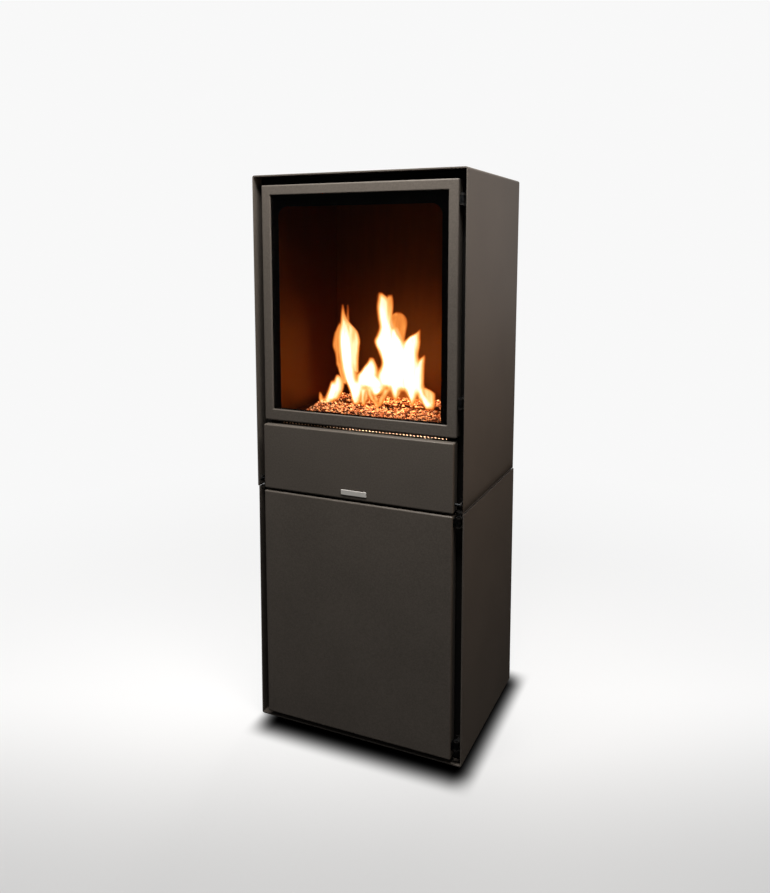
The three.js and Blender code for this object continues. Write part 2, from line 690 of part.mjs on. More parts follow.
// Side wall: a sheet with a flange out at the front and one at the back.
function sideWall(side) {
  const inner = chamberHalfWidth;
  const outer = inner + PLATE_SHEET;
  const tip = chamberOuterHalfWidth;
  const outline = [
    [inner, chamberFront], [tip, chamberFront], [tip, chamberFront + PLATE_SHEET],
    [outer, chamberFront + PLATE_SHEET], [outer, chamberBack - PLATE_SHEET],
    [tip, chamberBack - PLATE_SHEET], [tip, chamberBack], [inner, chamberBack],
  ].map(([x, y]) => [side * x, y]);
  return prism(outline, chamberFloorTop + SEAT, roofBottom - SEAT);
}
place(chamber, 'fire_chamber_left_wall', sideWall(-1), chamberSteel);
place(chamber, 'fire_chamber_right_wall', sideWall(1), chamberSteel);

// Back wall: a sheet between the side walls, with flanges to the rear along them.
function backWall() {
  const half = chamberHalfWidth - SEAT;
  const outline = [
    [-half, backWallFace], [half, backWallFace], [half, chamberBack],
    [half - PLATE_SHEET, chamberBack], [half - PLATE_SHEET, backWallFace + PLATE_SHEET],
    [-half + PLATE_SHEET, backWallFace + PLATE_SHEET], [-half + PLATE_SHEET, chamberBack],
    [-half, chamberBack],
  ];
  return prism(outline, chamberFloorTop + SEAT, roofBottom - SEAT);
}
place(chamber, 'fire_chamber_back_wall', backWall(), chamberSteel);

const airSlots = {
  count: AIR_SLOT_COUNT, halfSpan: chamberHalfWidth - AIR_SLOT_SIDE_MARGIN, bridge: AIR_SLOT_BRIDGE,
  width: AIR_SLOT_WIDTH, y: chamberFront + AIR_SLOT_SETBACK,
};

function chamberFloor() {
  const tray = faceUp(foldedTray(plate(chamberOuterHalfWidth, chamberFront, chamberBack),
    plateFold(CHAMBER_FLOOR_FLANGE)));
  const tankHole = slab({
    halfX: tankHalfLength + TANK_HOLE_CLEARANCE, halfY: TANK_WIDTH / 2 + TANK_HOLE_CLEARANCE,
    corner: TANK_CORNER, y: burnerY,
  }, -2 * PLATE_SHEET, PLATE_SHEET);
  return cut(tray, [tankHole, ...slotRow(airSlots, -2 * PLATE_SHEET, PLATE_SHEET)]);
}
place(chamber, 'fire_chamber_floor', chamberFloor(), blackPaint, [0, 0, chamberFloorTop]);

function chamberRoof() {
  const tray = faceDown(foldedTray(plate(chamberOuterHalfWidth, -chamberBack, -chamberFront),
    plateFold(PLATE_FLANGE)));
  return cut(tray, slotRow(airSlots, -PLATE_SHEET, 2 * PLATE_SHEET));
}
place(chamber, 'fire_chamber_roof', chamberRoof(), chamberSteel, [0, 0, roofBottom]);

// Burner tank: an open box with a flanged lid and a long mouth.
const burner = assembly(chamber, [0, burnerY, 0]);
const tankBottom = chamberFloorTop - TANK_DEPTH;
function burnerTank() {
  const outside = { halfX: tankHalfLength, halfY: TANK_WIDTH / 2, corner: TANK_CORNER };
  const inside = {
    halfX: outside.halfX - TANK_WALL, halfY: outside.halfY - TANK_WALL, corner: TANK_CORNER - TANK_WALL,
  };
  const flange = {
    halfX: outside.halfX + TANK_FLANGE, halfY: outside.halfY + TANK_FLANGE / 2, corner: TANK_CORNER,
  };
  const mouth = { halfX: mouthHalfLength, halfY: MOUTH_WIDTH / 2, corner: MOUTH_WIDTH / 2 };
  const lidBottom = lidTop - TANK_LID;
  const body = join(slab(outside, tankBottom, lidBottom + TANK_LID / 2), slab(flange, lidBottom, lidTop));
  return cut(body, [
    slab(inside, tankBottom + TANK_WALL, lidBottom),
    slab(mouth, lidBottom - TANK_LID, lidTop + TANK_LID),
  ]);
}
place(burner, 'burner_tank', burnerTank(), stainless);
place(burner, 'ceramic_wool', slab({
  halfX: tankHalfLength - TANK_WALL - SEAT, halfY: TANK_WIDTH / 2 - TANK_WALL - SEAT,
  corner: TANK_CORNER - TANK_WALL - SEAT,
}, tankBottom + TANK_WALL + SEAT, lidTop - TANK_LID - WOOL_BELOW_LID), woolFibre);

// Slider that shuts the mouth: parked behind it, with a tab that the hook tool catches.
function burnerSlider() {
  const sheet = slab({ halfX: sliderHalfLength, halfY: SLIDER_WIDTH / 2, corner: SLIDER_CORNER },
    0, SLIDER_SHEET);
  const tab = block([tabX - TAB_THICKNESS / 2, tabX + TAB_THICKNESS / 2],
    [-TAB_WIDTH / 2, TAB_WIDTH / 2], [SLIDER_SHEET / 2, TAB_HEIGHT]);
  const eye = rodX(TAB_HOLE_RADIUS, tabX - TAB_THICKNESS, tabX + TAB_THICKNESS, 0,
    TAB_HEIGHT - 2 * TAB_HOLE_RADIUS, EYE_STEPS);
  return cut(join(sheet, tab), [eye]);
}
place(burner, 'burner_slider', burnerSlider(), stainless, [0, SLIDER_TRAVEL, sliderBottom]);

// Guides: a foot on the tank's flange, a web and a lip over the slider's end.
function sliderGuide(side) {
  const web = sliderHalfLength + SEAT;
  const lipBottom = SLIDER_SHEET + SEAT;
  const lipTop = lipBottom + GUIDE_SHEET;
  const outline = [
    [web - GUIDE_LIP, lipBottom], [web, lipBottom], [web, 0], [web + GUIDE_FOOT, 0],
    [web + GUIDE_FOOT, GUIDE_SHEET], [web + GUIDE_SHEET, GUIDE_SHEET], [web + GUIDE_SHEET, lipTop],
    [web - GUIDE_LIP, lipTop],
  ].map(([x, z]) => [side * x, z]);
  return faceForward(prism(outline, 0, GUIDE_LENGTH));
}
const guideBack = SLIDER_TRAVEL + SLIDER_WIDTH / 2;
place(burner, 'slider_guide_left', sliderGuide(-1), stainless, [0, guideBack, sliderBottom]);
place(burner, 'slider_guide_right', sliderGuide(1), stainless, [0, guideBack, sliderBottom]);

// Raised hearth plate: covers the slider, open over the mouth and along the tab's way.
const tabSlot = {
  halfX: TAB_THICKNESS, halfY: (SLIDER_TRAVEL + TAB_WIDTH) / 2 + TAB_SLOT_CLEARANCE,
  corner: TAB_THICKNESS,
  x: tabX, y: burnerY + SLIDER_TRAVEL / 2,
};
function hearthPlate() {
  const tray = faceUp(foldedTray(plate(hearthHalfWidth, chamberFront, backWallFace - SEAT),
    plateFold(HEARTH_RISE - SEAT)));
  const mouth = slab({
    halfX: mouthHalfLength, halfY: MOUTH_WIDTH / 2, corner: MOUTH_WIDTH / 2, y: burnerY,
  }, -2 * PLATE_SHEET, PLATE_SHEET);
  const slots = slotRow(airSlots, -2 * PLATE_SHEET, PLATE_SHEET);
  return cut(tray, [mouth, slab(tabSlot, -2 * PLATE_SHEET, PLATE_SHEET), ...slots]);
}
place(chamber, 'hearth_plate', hearthPlate(), chamberSteel, [0, 0, hearthTop]);

// Bed of loose pebbles: a low heap round the mouth.
function pebbleBed() {
  const heap = {
    left: -hearthHalfWidth + BED_MARGIN_SIDE, right: hearthHalfWidth - BED_MARGIN_SIDE,
    bottom: chamberFront + BED_MARGIN_FRONT, top: backWallFace - BED_MARGIN_BACK, corner: BED_CORNER,
  };
  const mouth = {
    left: -mouthHalfLength - BED_MOUTH_MARGIN, right: mouthHalfLength + BED_MOUTH_MARGIN,
    bottom: burnerY - MOUTH_WIDTH / 2 - BED_MOUTH_MARGIN,
    top: burnerY + MOUTH_WIDTH / 2 + BED_MOUTH_MARGIN, corner: MOUTH_WIDTH / 2,
  };
  const ring = faceUp(loft([
    loop(heap, 0, 0), loop(heap, BED_EDGE_STEP, -BED_HEIGHT / 3), loop(heap, BED_SLOPE, -BED_HEIGHT),
    loop(mouth, -BED_HEIGHT / 2, -BED_HEIGHT), loop(mouth, 0, -BED_HEIGHT / 2), loop(mouth, 0, 0),
  ], true));
  const clearTab = { ...tabSlot, halfX: 2 * TAB_THICKNESS, halfY: tabSlot.halfY + TAB_THICKNESS };
  return cut(ring, [slab(clearTab, -BED_HEIGHT, 2 * BED_HEIGHT)]);
}
place(chamber, 'pebble_bed', pebbleBed(), pebbleStone, [0, 0, hearthTop + SEAT]);

// ---------------------------------------------------------------- hinges of the swinging doors

// All hinge pieces are drawn about the pin's axis. `reach` is the way from the axis to the face
// frame, `edge` the way to the door's side, and the arm's plate runs from armFront to armBack.
const lugGap = KNUCKLE_HEIGHT / 2 + SEAT;

function hingeBracket(reach) {
  const plateFront = reach - SEAT - BRACKET_SHEET;
  const height = lugGap + LUG_SHEET;
  const lug = (z) => join(
    rodZ(LUG_RADIUS, z, z + LUG_SHEET),
    block([-LUG_NECK_LEFT, LUG_NECK_RIGHT], [0, plateFront + BRACKET_SHEET / 2], [z, z + LUG_SHEET]),
  );
  const backing = block([-BRACKET_LEFT, LUG_NECK_RIGHT], [plateFront, reach - SEAT],
    [-height - BRACKET_MARGIN, height + BRACKET_MARGIN]);
  const bore = rodZ(HINGE_PIN_RADIUS + PIN_CLEARANCE, -2 * height, 2 * height);
  return cut(join(backing, lug(lugGap), lug(-lugGap - LUG_SHEET)), [bore]);
}

function hingePin() {
  const top = lugGap + LUG_SHEET + SEAT;
  return turned([
    [0, -top], [HINGE_PIN_RADIUS, -top], [HINGE_PIN_RADIUS, top], [HINGE_PIN_HEAD, top],
    [HINGE_PIN_HEAD, top + HINGE_PIN_HEAD_HEIGHT], [0, top + HINGE_PIN_HEAD_HEIGHT],
  ]);
}

function hingeArm(edge, armFront, armBack) {
  const half = KNUCKLE_HEIGHT / 2;
  const side = -(edge - SEAT);
  const solid = join(
    rodZ(KNUCKLE_RADIUS, -half, half),
    block([side + ARM_SHEET / 2, 0], [-ARM_WEB / 2, ARM_WEB / 2], [-half, half]),
    block([side, side + ARM_SHEET], [armFront, armBack], [-half, half]),
  );
  return cut(solid, [rodZ(HINGE_PIN_RADIUS + PIN_CLEARANCE, -2 * half, 2 * half)]);
}

// Puts one hinge at each height: bracket and pin on the casing, arm on the door.
function hinges(prefix, door, axisDepth, frameFront, heights) {
  const axisY = door.face + axisDepth;
  const edge = hingeX - door.halfWidth;
  const armFront = -axisDepth + PANEL_BEND + ARM_FRONT_SETBACK;
  const armBack = PANEL_RETURN - axisDepth - ARM_BACK_SETBACK;
  for (const [level, z] of heights) {
    const hinge = assembly(part, [hingeX, axisY, z]);
    place(hinge, `${prefix}_hinge_bracket_${level}`, hingeBracket(frameFront - axisY), blackPaint);
    place(hinge, `${prefix}_hinge_pin_${level}`, hingePin(), stainless);
    place(hinge, `${prefix}_hinge_arm_${level}`, hingeArm(edge, armFront, armBack), zincPlate);
  }
}
hinges('door', glazed, GLAZED_AXIS_DEPTH, upperFrameFront, [
  ['upper', glazed.top - GLAZED_HINGE_TOP_DROP],
  ['lower', glazed.bottom + GLAZED_HINGE_BOTTOM_RISE],
]);
hinges('storage', storage, STORAGE_AXIS_DEPTH, lowerFrameFront, [
  ['upper', storage.top - STORAGE_HINGE_TOP_DROP],
  ['lower', storage.bottom + STORAGE_HINGE_BOTTOM_RISE],
]);

// ---------------------------------------------------------------- glazed door

// Every piece of the door is drawn with the door's face at y = 0.
const glazedDoor = assembly(part, [0, glazed.face, 0]);
const doorOutline = rectangle(glazed.halfWidth, glazed.bottom, glazed.top, PANEL_CORNER);
const openingOutline = rectangle(opening.halfWidth, opening.bottom, opening.top, FRAME_HOLE_CORNER);
const panelStyle = { depth: PANEL_RETURN, sheet: PANEL_SHEET, radius: PANEL_BEND };

const gasketFront = FRAME_LIP + SEAT;
const glassFront = gasketFront + GASKET_THICKNESS + SEAT;
const retainerFront = glassFront + GLASS_THICKNESS + SEAT;
const sealCentre = PANEL_RETURN + UPPER_FRAME_GAP - SEAT - SEAL_RADIUS;
const retainerBack = sealCentre - SEAL_RADIUS - SEAT;

place(glazedDoor, 'door_frame', foldedFrame(doorOutline, openingOutline,
  { ...panelStyle, lip: FRAME_LIP, lipRadius: FRAME_LIP_BEND }), casingPaint);

// A flat or round section carried round a rectangle as a closed ring of [inset, depth] points.
const ringAlong = (outline, section) =>
  loft(section.map(([inset, y]) => loop(outline, inset, y)), true);

place(glazedDoor, 'glass_gasket', ringAlong(openingOutline, [
  [-GASKET_SETBACK, gasketFront], [-GASKET_SETBACK - GASKET_WIDTH, gasketFront],
  [-GASKET_SETBACK - GASKET_WIDTH, gasketFront + GASKET_THICKNESS],
  [-GASKET_SETBACK, gasketFront + GASKET_THICKNESS],
]), ropeFibre);

place(glazedDoor, 'door_glass', loft([
  loop(doorOutline, GLASS_MARGIN, glassFront),
  loop(doorOutline, GLASS_MARGIN, glassFront + GLASS_THICKNESS),
], false), paneGlass);

// The retainer is a channel whose front leg holds the pane and whose back leg holds the seal.
const retainerSide = PANEL_SHEET + SEAT;
place(glazedDoor, 'glass_retainer', ringAlong(doorOutline, [
  [retainerSide, retainerFront], [retainerSide + RETAINER_FRONT_LEG, retainerFront],
  [retainerSide + RETAINER_FRONT_LEG, retainerFront + RETAINER_SHEET],
  [retainerSide + RETAINER_SHEET, retainerFront + RETAINER_SHEET],
  [retainerSide + RETAINER_SHEET, retainerBack - RETAINER_SHEET],
  [retainerSide + RETAINER_BACK_LEG, retainerBack - RETAINER_SHEET],
  [retainerSide + RETAINER_BACK_LEG, retainerBack], [retainerSide, retainerBack],
]), zincPlate);

place(glazedDoor, 'door_seal', ringAlong(doorOutline, Array.from({ length: SEAL_STEPS }, (_, k) => {
  const angle = ((k + 0.5) / SEAL_STEPS) * 2 * Math.PI;
  const reach = SEAL_RADIUS / Math.cos(Math.PI / SEAL_STEPS);
  return [SEAL_INSET + reach * Math.cos(angle), sealCentre + reach * Math.sin(angle)];
})), ropeFibre);

// Magnet strip behind the door's free edge.
const magnetThickness = UPPER_FRAME_GAP - 2 * SEAT;
place(part, 'door_magnet', block(
  [-DOOR_MAGNET_WIDTH / 2, DOOR_MAGNET_WIDTH / 2], [-magnetThickness, 0],
  [-DOOR_MAGNET_HEIGHT / 2, DOOR_MAGNET_HEIGHT / 2]), magnetFerrite,
  [-glazed.halfWidth + PANEL_SHEET, upperFrameFront - SEAT, (glazed.bottom + glazed.top) / 2]);

// ---------------------------------------------------------------- service flap

const flapAxisZ = flap.bottom + FLAP_AXIS_RISE;
const serviceFlap = assembly(part, [0, flap.face, flap.bottom]);
const flapOutline = rectangle(flap.halfWidth, 0, FLAP_HEIGHT, PANEL_CORNER);
const flapBore = rodX(HINGE_PIN_RADIUS + PIN_CLEARANCE, -2 * flap.halfWidth, 2 * flap.halfWidth,
  FLAP_AXIS_DEPTH, FLAP_AXIS_RISE);
place(serviceFlap, 'flap_panel', cut(foldedTray(flapOutline, panelStyle), [flapBore]), casingPaint);

// Bare badge plate with a bevelled rim.
const badgeOutline = rectangle(BADGE_WIDTH / 2, 0, BADGE_HEIGHT, BADGE_CORNER);
place(serviceFlap, 'badge_plate', loft([
  loop(badgeOutline, 0, BADGE_THICKNESS),
  loop(badgeOutline, 0, BADGE_BEVEL),
  loop(badgeOutline, BADGE_BEVEL, 0),
], false), badgeMetal, [0, -BADGE_THICKNESS - SEAT, BADGE_RISE]);

// Pivot bracket: a foot on the face frame and a web forward to the pin, drawn about the pin.
const flapAxisY = flap.face + FLAP_AXIS_DEPTH;
const flapWebOuter = innerHalfWidth - FLAP_BRACKET_FROM_CASING;
function flapBracket(side) {
  const back = upperFrameFront - flapAxisY - SEAT;
  const half = FLAP_BRACKET_HEIGHT / 2;
  const spans = (x0, x1) => (side > 0 ? [x0, x1] : [-x1, -x0]);
  const web = block(spans(flapWebOuter - FLAP_BRACKET_SHEET, flapWebOuter), [0, back], [-half, half]);
  const nose = rodX(half, ...spans(flapWebOuter - FLAP_BRACKET_SHEET, flapWebOuter));
  const foot = block(spans(flapWebOuter - FLAP_BRACKET_FOOT, flapWebOuter),
    [back - FLAP_BRACKET_SHEET, back], [-half, half]);
  const bore = rodX(HINGE_PIN_RADIUS + PIN_CLEARANCE, ...spans(0, innerHalfWidth));
  return cut(join(web, nose, foot), [bore]);
}

// Pin with its head inside the flap's side, turned about Z and laid along X.
function flapPin(side) {
  const head = flap.halfWidth - PANEL_SHEET - SEAT;
  const tip = flapWebOuter + SEAT;
  const pin = turned([
    [0, head - HINGE_PIN_HEAD_HEIGHT], [FLAP_PIN_HEAD, head - HINGE_PIN_HEAD_HEIGHT],
    [FLAP_PIN_HEAD, head], [HINGE_PIN_RADIUS, head], [HINGE_PIN_RADIUS, tip], [0, tip],
  ]);
  return pin.rotateY(side * Math.PI / 2);
}
for (const [name, side] of [['left', -1], ['right', 1]]) {
  const pivot = assembly(part, [0, flapAxisY, flapAxisZ]);
  place(pivot, `flap_bracket_${name}`, flapBracket(side), blackPaint);
  place(pivot, `flap_pin_${name}`, flapPin(side), stainless);
  const depth = upperFrameFront - (flap.face + PANEL_RETURN) - 2 * SEAT;
  const x = side * (flap.halfWidth - FLAP_MAGNET_SETBACK - FLAP_MAGNET_WIDTH / 2);
  place(part, `flap_magnet_${name}`, block(
    [-FLAP_MAGNET_WIDTH / 2, FLAP_MAGNET_WIDTH / 2], [-depth, 0], [-FLAP_MAGNET_HEIGHT, 0]),
    magnetFerrite, [x, upperFrameFront - SEAT, flap.top]);
}

// ---------------------------------------------------------------- storage door

const storageDoor = assembly(part, [0, storage.face, 0]);
place(storageDoor, 'storage_door_panel', foldedTray(
  rectangle(storage.halfWidth, storage.bottom, storage.top, PANEL_CORNER), panelStyle), casingPaint);

// Strike: a hat section on the door's inner face, level with its folded sides.
function latchStrike() {
  const half = STRIKE_WIDTH / 2;
  const depth = PANEL_RETURN - PANEL_SHEET - SEAT;
  const outline = [
    [-half - STRIKE_FOOT, 0], [-half + STRIKE_SHEET, 0], [-half + STRIKE_SHEET, depth - STRIKE_SHEET],
    [half - STRIKE_SHEET, depth - STRIKE_SHEET], [half - STRIKE_SHEET, 0], [half + STRIKE_FOOT, 0],
    [half + STRIKE_FOOT, STRIKE_SHEET], [half, STRIKE_SHEET], [half, depth], [-half, depth],
    [-half, STRIKE_SHEET], [-half - STRIKE_FOOT, STRIKE_SHEET],
  ];
  return prism(outline, -STRIKE_HEIGHT / 2, STRIKE_HEIGHT / 2);
}
place(storageDoor, 'latch_strike', latchStrike(), zincPlate,
  [latchX, PANEL_SHEET + SEAT, LATCH_HEIGHT]);

// Push latch behind the face frame: a body with a bore, and the plunger that the strike presses.
const latch = assembly(part, [latchX, lowerFrameFront + PLATE_SHEET + SEAT, LATCH_HEIGHT]);
function latchBody() {
  const half = LATCH_BODY_WIDTH / 2;
  const body = block([-half, half], [0, LATCH_BODY_LENGTH], [-half, half]);
  return cut(body, [rodY(PLUNGER_RADIUS + PIN_CLEARANCE, -1, LATCH_BODY_LENGTH - 2 * PLUNGER_RADIUS)]);
}
place(latch, 'push_latch_body', latchBody(), nylon);

function latchPlunger() {
  const tip = storage.face + PANEL_RETURN + SEAT - (lowerFrameFront + PLATE_SHEET + SEAT);
  const end = LATCH_BODY_LENGTH - 2 * PLUNGER_RADIUS - 2 * PLUNGER_TRAVEL;
  const stem = turned([
    [0, tip], [PLUNGER_RADIUS - PLUNGER_TIP, tip], [PLUNGER_RADIUS, tip + PLUNGER_TIP],
    [PLUNGER_RADIUS, end], [0, end],
  ]);
  return stem.rotateX(-Math.PI / 2);
}
place(latch, 'push_latch_plunger', latchPlunger(), nylon);

// Rubber bumpers under the free edge of the storage door.
const bumperHeights = [
  ['upper', storage.top - BUMPER_FROM_END],
  ['lower', storage.bottom + BUMPER_FROM_END],
];
for (const [level, z] of bumperHeights) {
  place(part, `storage_bumper_${level}`, rodY(BUMPER_RADIUS, -LOWER_FRAME_GAP + 2 * SEAT, 0), rubber,
    [-storage.halfWidth + PANEL_SHEET / 2, lowerFrameFront - SEAT, z]);
}

// ---------------------------------------------------------------- storage compartment

const shelfTop = FLOOR_GAP + SHELF_HEIGHT;
const shelfFront = lowerFrameFront + PLATE_FLANGE + SEAT;
const shelfBack = lowerPanelBack - PLATE_FLANGE - SEAT;
place(casing, 'storage_shelf', faceUp(foldedTray(
  plate(innerHalfWidth - SHELF_SIDE_GAP, shelfFront, shelfBack), plateFold(SHELF_FLANGE))),
  blackPaint, [0, 0, shelfTop]);

function shelfRail(side) {
  const outer = plateHalfWidth;
  const outline = [
    [outer, 0], [outer, -RAIL_LEG], [outer - PLATE_SHEET, -RAIL_LEG],
    [outer - PLATE_SHEET, -PLATE_SHEET], [outer - RAIL_LEG, -PLATE_SHEET], [outer - RAIL_LEG, 0],
  ].map(([x, z]) => [side * x, z]);
  return faceForward(prism(outline, 0, shelfBack - shelfFront));
}
const railZ = shelfTop - SHELF_FLANGE - SEAT;
place(casing, 'shelf_rail_left', shelfRail(-1), blackPaint, [0, shelfBack, railZ]);
place(casing, 'shelf_rail_right', shelfRail(1), blackPaint, [0, shelfBack, railZ]);

export default part;
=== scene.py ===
# %% [markdown]
# # A bioethanol fireplace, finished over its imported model
#
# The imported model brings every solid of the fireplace: two folded sheet-steel casings, a glazed
# door, a service flap, a storage door and the burner inside. This script gives each solid its
# real finish, and makes the things that are no solids in the model: the printed border of the
# pane, the tape in the seam, the screws, the loose stones on the hearth and the flames.
#
# Everything is in metres. The front looks towards -Y and Z is up.

from math import cos, pi, radians, sin

import bpy
import numpy as np
from mathutils import Matrix, Vector


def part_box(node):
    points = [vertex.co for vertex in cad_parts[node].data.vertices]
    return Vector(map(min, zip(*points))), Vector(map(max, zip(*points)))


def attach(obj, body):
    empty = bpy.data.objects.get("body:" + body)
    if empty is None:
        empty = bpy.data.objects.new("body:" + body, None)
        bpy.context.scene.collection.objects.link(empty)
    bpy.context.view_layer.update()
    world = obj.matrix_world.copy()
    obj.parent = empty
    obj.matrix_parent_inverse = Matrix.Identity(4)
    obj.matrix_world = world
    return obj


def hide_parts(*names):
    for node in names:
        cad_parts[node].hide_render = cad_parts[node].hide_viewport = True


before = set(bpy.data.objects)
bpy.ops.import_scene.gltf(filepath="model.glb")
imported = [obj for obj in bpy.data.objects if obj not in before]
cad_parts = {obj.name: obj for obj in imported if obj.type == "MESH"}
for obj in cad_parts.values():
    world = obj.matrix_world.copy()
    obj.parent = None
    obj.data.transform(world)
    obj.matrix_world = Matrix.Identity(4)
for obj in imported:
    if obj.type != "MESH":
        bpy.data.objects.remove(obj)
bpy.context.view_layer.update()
MM = 0.001


# %% [markdown]
# ## Colours and nodes
#
# A colour on a paint card is an sRGB value, and Cycles works in linear light, so one function
# turns a hex colour into linear numbers. A second one adds a node to a tree and fills its sockets
# either with a plain value or with a link. The finishes below are all made the same way: a noise
# drives a colour between two tones, a roughness between two values and a bump, and each of these
# steps is a function too, so that a finish reads from top to bottom in a few lines.


# %% Helpers for materials
def linear(hex_colour):
    """An sRGB hex colour as linear RGBA.

    A channel c becomes c / 12.92 up to 0.04045, and ((c + 0.055) / 1.055) ^ 2.4 above it.
    """
    code = hex_colour.lstrip("#")
    srgb = np.array([int(code[k:k + 2], 16) for k in (0, 2, 4)]) / 255
    low, high = srgb / 12.92, ((srgb + 0.055) / 1.055) ** 2.4
    return (*np.where(srgb <= 0.04045, low, high).tolist(), 1.0)


def add(tree, kind, sockets=None, **settings):
    """Adds one node; a socket is linked where its value is another node's output."""
    node = tree.nodes.new(kind)
    for name, value in settings.items():
        setattr(node, name, value)
    for name, value in (sockets or {}).items():
        if isinstance(value, bpy.types.NodeSocket):
            tree.links.new(value, node.inputs[name])
        else:
            node.inputs[name].default_value = value
    return node


def new_material(name, **sockets):
    """A material with one Principled shader, whose uniform values stand on its own sockets."""
    material = bpy.data.materials.new(name)
    material.use_nodes = True
    shader = material.node_tree.nodes["Principled BSDF"]
    for socket, value in sockets.items():
        shader.inputs[socket.replace("_", " ")].default_value = value
    return material, material.node_tree, shader


def per_mm(size):
    """The scale of a pattern on Object coordinates whose features are `size` millimetres."""
    return 1 / (size * MM)


def object_place(tree, stretch=None):
    """Object coordinates, scaled along X, Y and Z where a stretch is given."""
    place = add(tree, "ShaderNodeTexCoord").outputs["Object"]
    if stretch is None:
        return place
    return add(tree, "ShaderNodeMapping", {"Vector": place, "Scale": stretch}).outputs[0]


def noise(tree, size, detail, stretch=None, **sockets):
    """A noise with features of `size` millimetres, as a number from 0 to 1."""
    return add(tree, "ShaderNodeTexNoise", {
        "Vector": object_place(tree, stretch), "Scale": per_mm(size), "Detail": detail,
        **sockets}).outputs["Fac"]


def between(tree, share, low, high):
    """A number between two values, for a share from 0 to 1."""
    return add(tree, "ShaderNodeMapRange", {
        "Value": share, "To Min": low, "To Max": high}).outputs["Result"]


def two_tones(tree, share, first, second):
    """A colour between two hex tones, for a share from 0 to 1."""
    return add(tree, "ShaderNodeMix", {
        0: share, 6: linear(first), 7: linear(second)}, data_type="RGBA").outputs[2]


def tone_ramp(tree, share, tones):
    """A colour from a list of (position, hex tone), for a share from 0 to 1."""
    ramp = add(tree, "ShaderNodeValToRGB", {"Fac": share})
    while len(ramp.color_ramp.elements) < len(tones):
        ramp.color_ramp.elements.new(1.0)
    for element, (position, tone) in zip(ramp.color_ramp.elements, tones):
        element.position, element.color = position, linear(tone)
    return ramp.outputs[0]


def relief(tree, height, strength, size, **sockets):
    """A normal bent by a height pattern that stands `size` millimetres high."""
    return add(tree, "ShaderNodeBump", {
        "Strength": strength, "Distance": size * MM, "Height": height, **sockets}).outputs[0]


def wire(tree, shader, **outputs):
    """Links each output to the shader's socket of that name, with _ standing for a space."""
    for socket, output in outputs.items():
        tree.links.new(output, shader.inputs[socket.replace("_", " ")])


def by_ray(tree, to_camera, to_mirror, to_rest):
    """A shader for camera rays, one for mirrored and refracted rays, and one for all others."""
    path = add(tree, "ShaderNodeLightPath")
    through = add(tree, "ShaderNodeMath", {
        0: path.outputs["Is Glossy Ray"], 1: path.outputs["Is Transmission Ray"]},
        operation="MAXIMUM")
    other = add(tree, "ShaderNodeMixShader", {
        0: through.outputs[0], 1: to_rest.outputs[0], 2: to_mirror.outputs[0]})
    return add(tree, "ShaderNodeMixShader", {
        0: path.outputs["Is Camera Ray"], 1: other.outputs[0], 2: to_camera.outputs[0]})


nodes_of_slot = {}
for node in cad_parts.values():
    nodes_of_slot.setdefault(node.material_slots[0].material.name, []).append(node)


def dress(slot, material):
    """Puts a material on every node of the model that was given this slot."""
    for node in nodes_of_slot[slot]:
        node.material_slots[0].material = material
    print(f"{material.name}: {len(nodes_of_slot[slot])} nodes")


print({slot: len(nodes) for slot, nodes in nodes_of_slot.items()})

# %% [markdown]
# ## The camera
#
# The photograph looks at the front from the right, a little from above, and its verticals are
# almost parallel: the lens looks nearly level and the picture was cut from a larger one. That is
# what the lens shift stands for. The place, the angles and the focal length come from the edges
# of the casing in the photograph.

# %% Make the camera
PHOTO_WIDTH, PHOTO_HEIGHT = 770, 893  # pixels
FOCAL_LENGTH = 796.3  # pixels
OPTICAL_AXIS = (384.6, 341.2)  # pixel that the lens looks at
SENSOR = 36.0  # millimetres along the longer side of the picture
CAMERA_PLACE = Vector((0.7442, -1.6847, 1.0978))
YAW, PITCH, ROLL = radians(24.25), radians(6.685), radians(-0.02)

forward = Vector((-sin(YAW) * cos(PITCH), cos(YAW) * cos(PITCH), -sin(PITCH)))
level = Vector((cos(YAW), sin(YAW), 0))
upright = level.cross(forward)
right = cos(ROLL) * level + sin(ROLL) * upright
up = -sin(ROLL) * level + cos(ROLL) * upright

camera_data = bpy.data.cameras.new("camera")
camera_data.sensor_width = SENSOR
camera_data.lens = FOCAL_LENGTH * SENSOR / PHOTO_HEIGHT
camera_data.shift_x = (PHOTO_WIDTH / 2 - OPTICAL_AXIS[0]) / PHOTO_HEIGHT
camera_data.shift_y = (OPTICAL_AXIS[1] - PHOTO_HEIGHT / 2) / PHOTO_HEIGHT
camera = bpy.data.objects.new("camera", camera_data)
bpy.context.scene.collection.objects.link(camera)
turn = Matrix((right, up, -forward)).transposed()
camera.matrix_world = Matrix.Translation(CAMERA_PLACE) @ turn.to_4x4()
bpy.context.scene.camera = camera
print("lens", round(camera_data.lens, 2), "shift", round(camera_data.shift_y, 4))

# %% [markdown]
# ## Surfaces from arrays
#
# Each new piece is a surface worked out with numpy. A tube is the simplest of them: a row of
# rings, each a closed loop of points, skinned with four-sided faces and shut by a fan at both
# ends. A ring of rings, with no ends, makes a frame. Building the faces from index arrays keeps
# Python out of the loop over vertices.


# %% Helpers for meshes
def put_mesh(name, vertices, faces, material, smooth=True):
    """Makes an object at the origin from vertices (n, 3) and a list of face index arrays."""
    mesh = bpy.data.meshes.new(name)
    mesh.from_pydata(vertices.tolist(), [], [face for group in faces for face in group.tolist()])
    mesh.polygons.foreach_set("use_smooth", [smooth] * len(mesh.polygons))
    mesh.materials.append(material)
    mesh.update()
    piece = bpy.data.objects.new(name, mesh)
    bpy.context.scene.collection.objects.link(piece)
    return piece


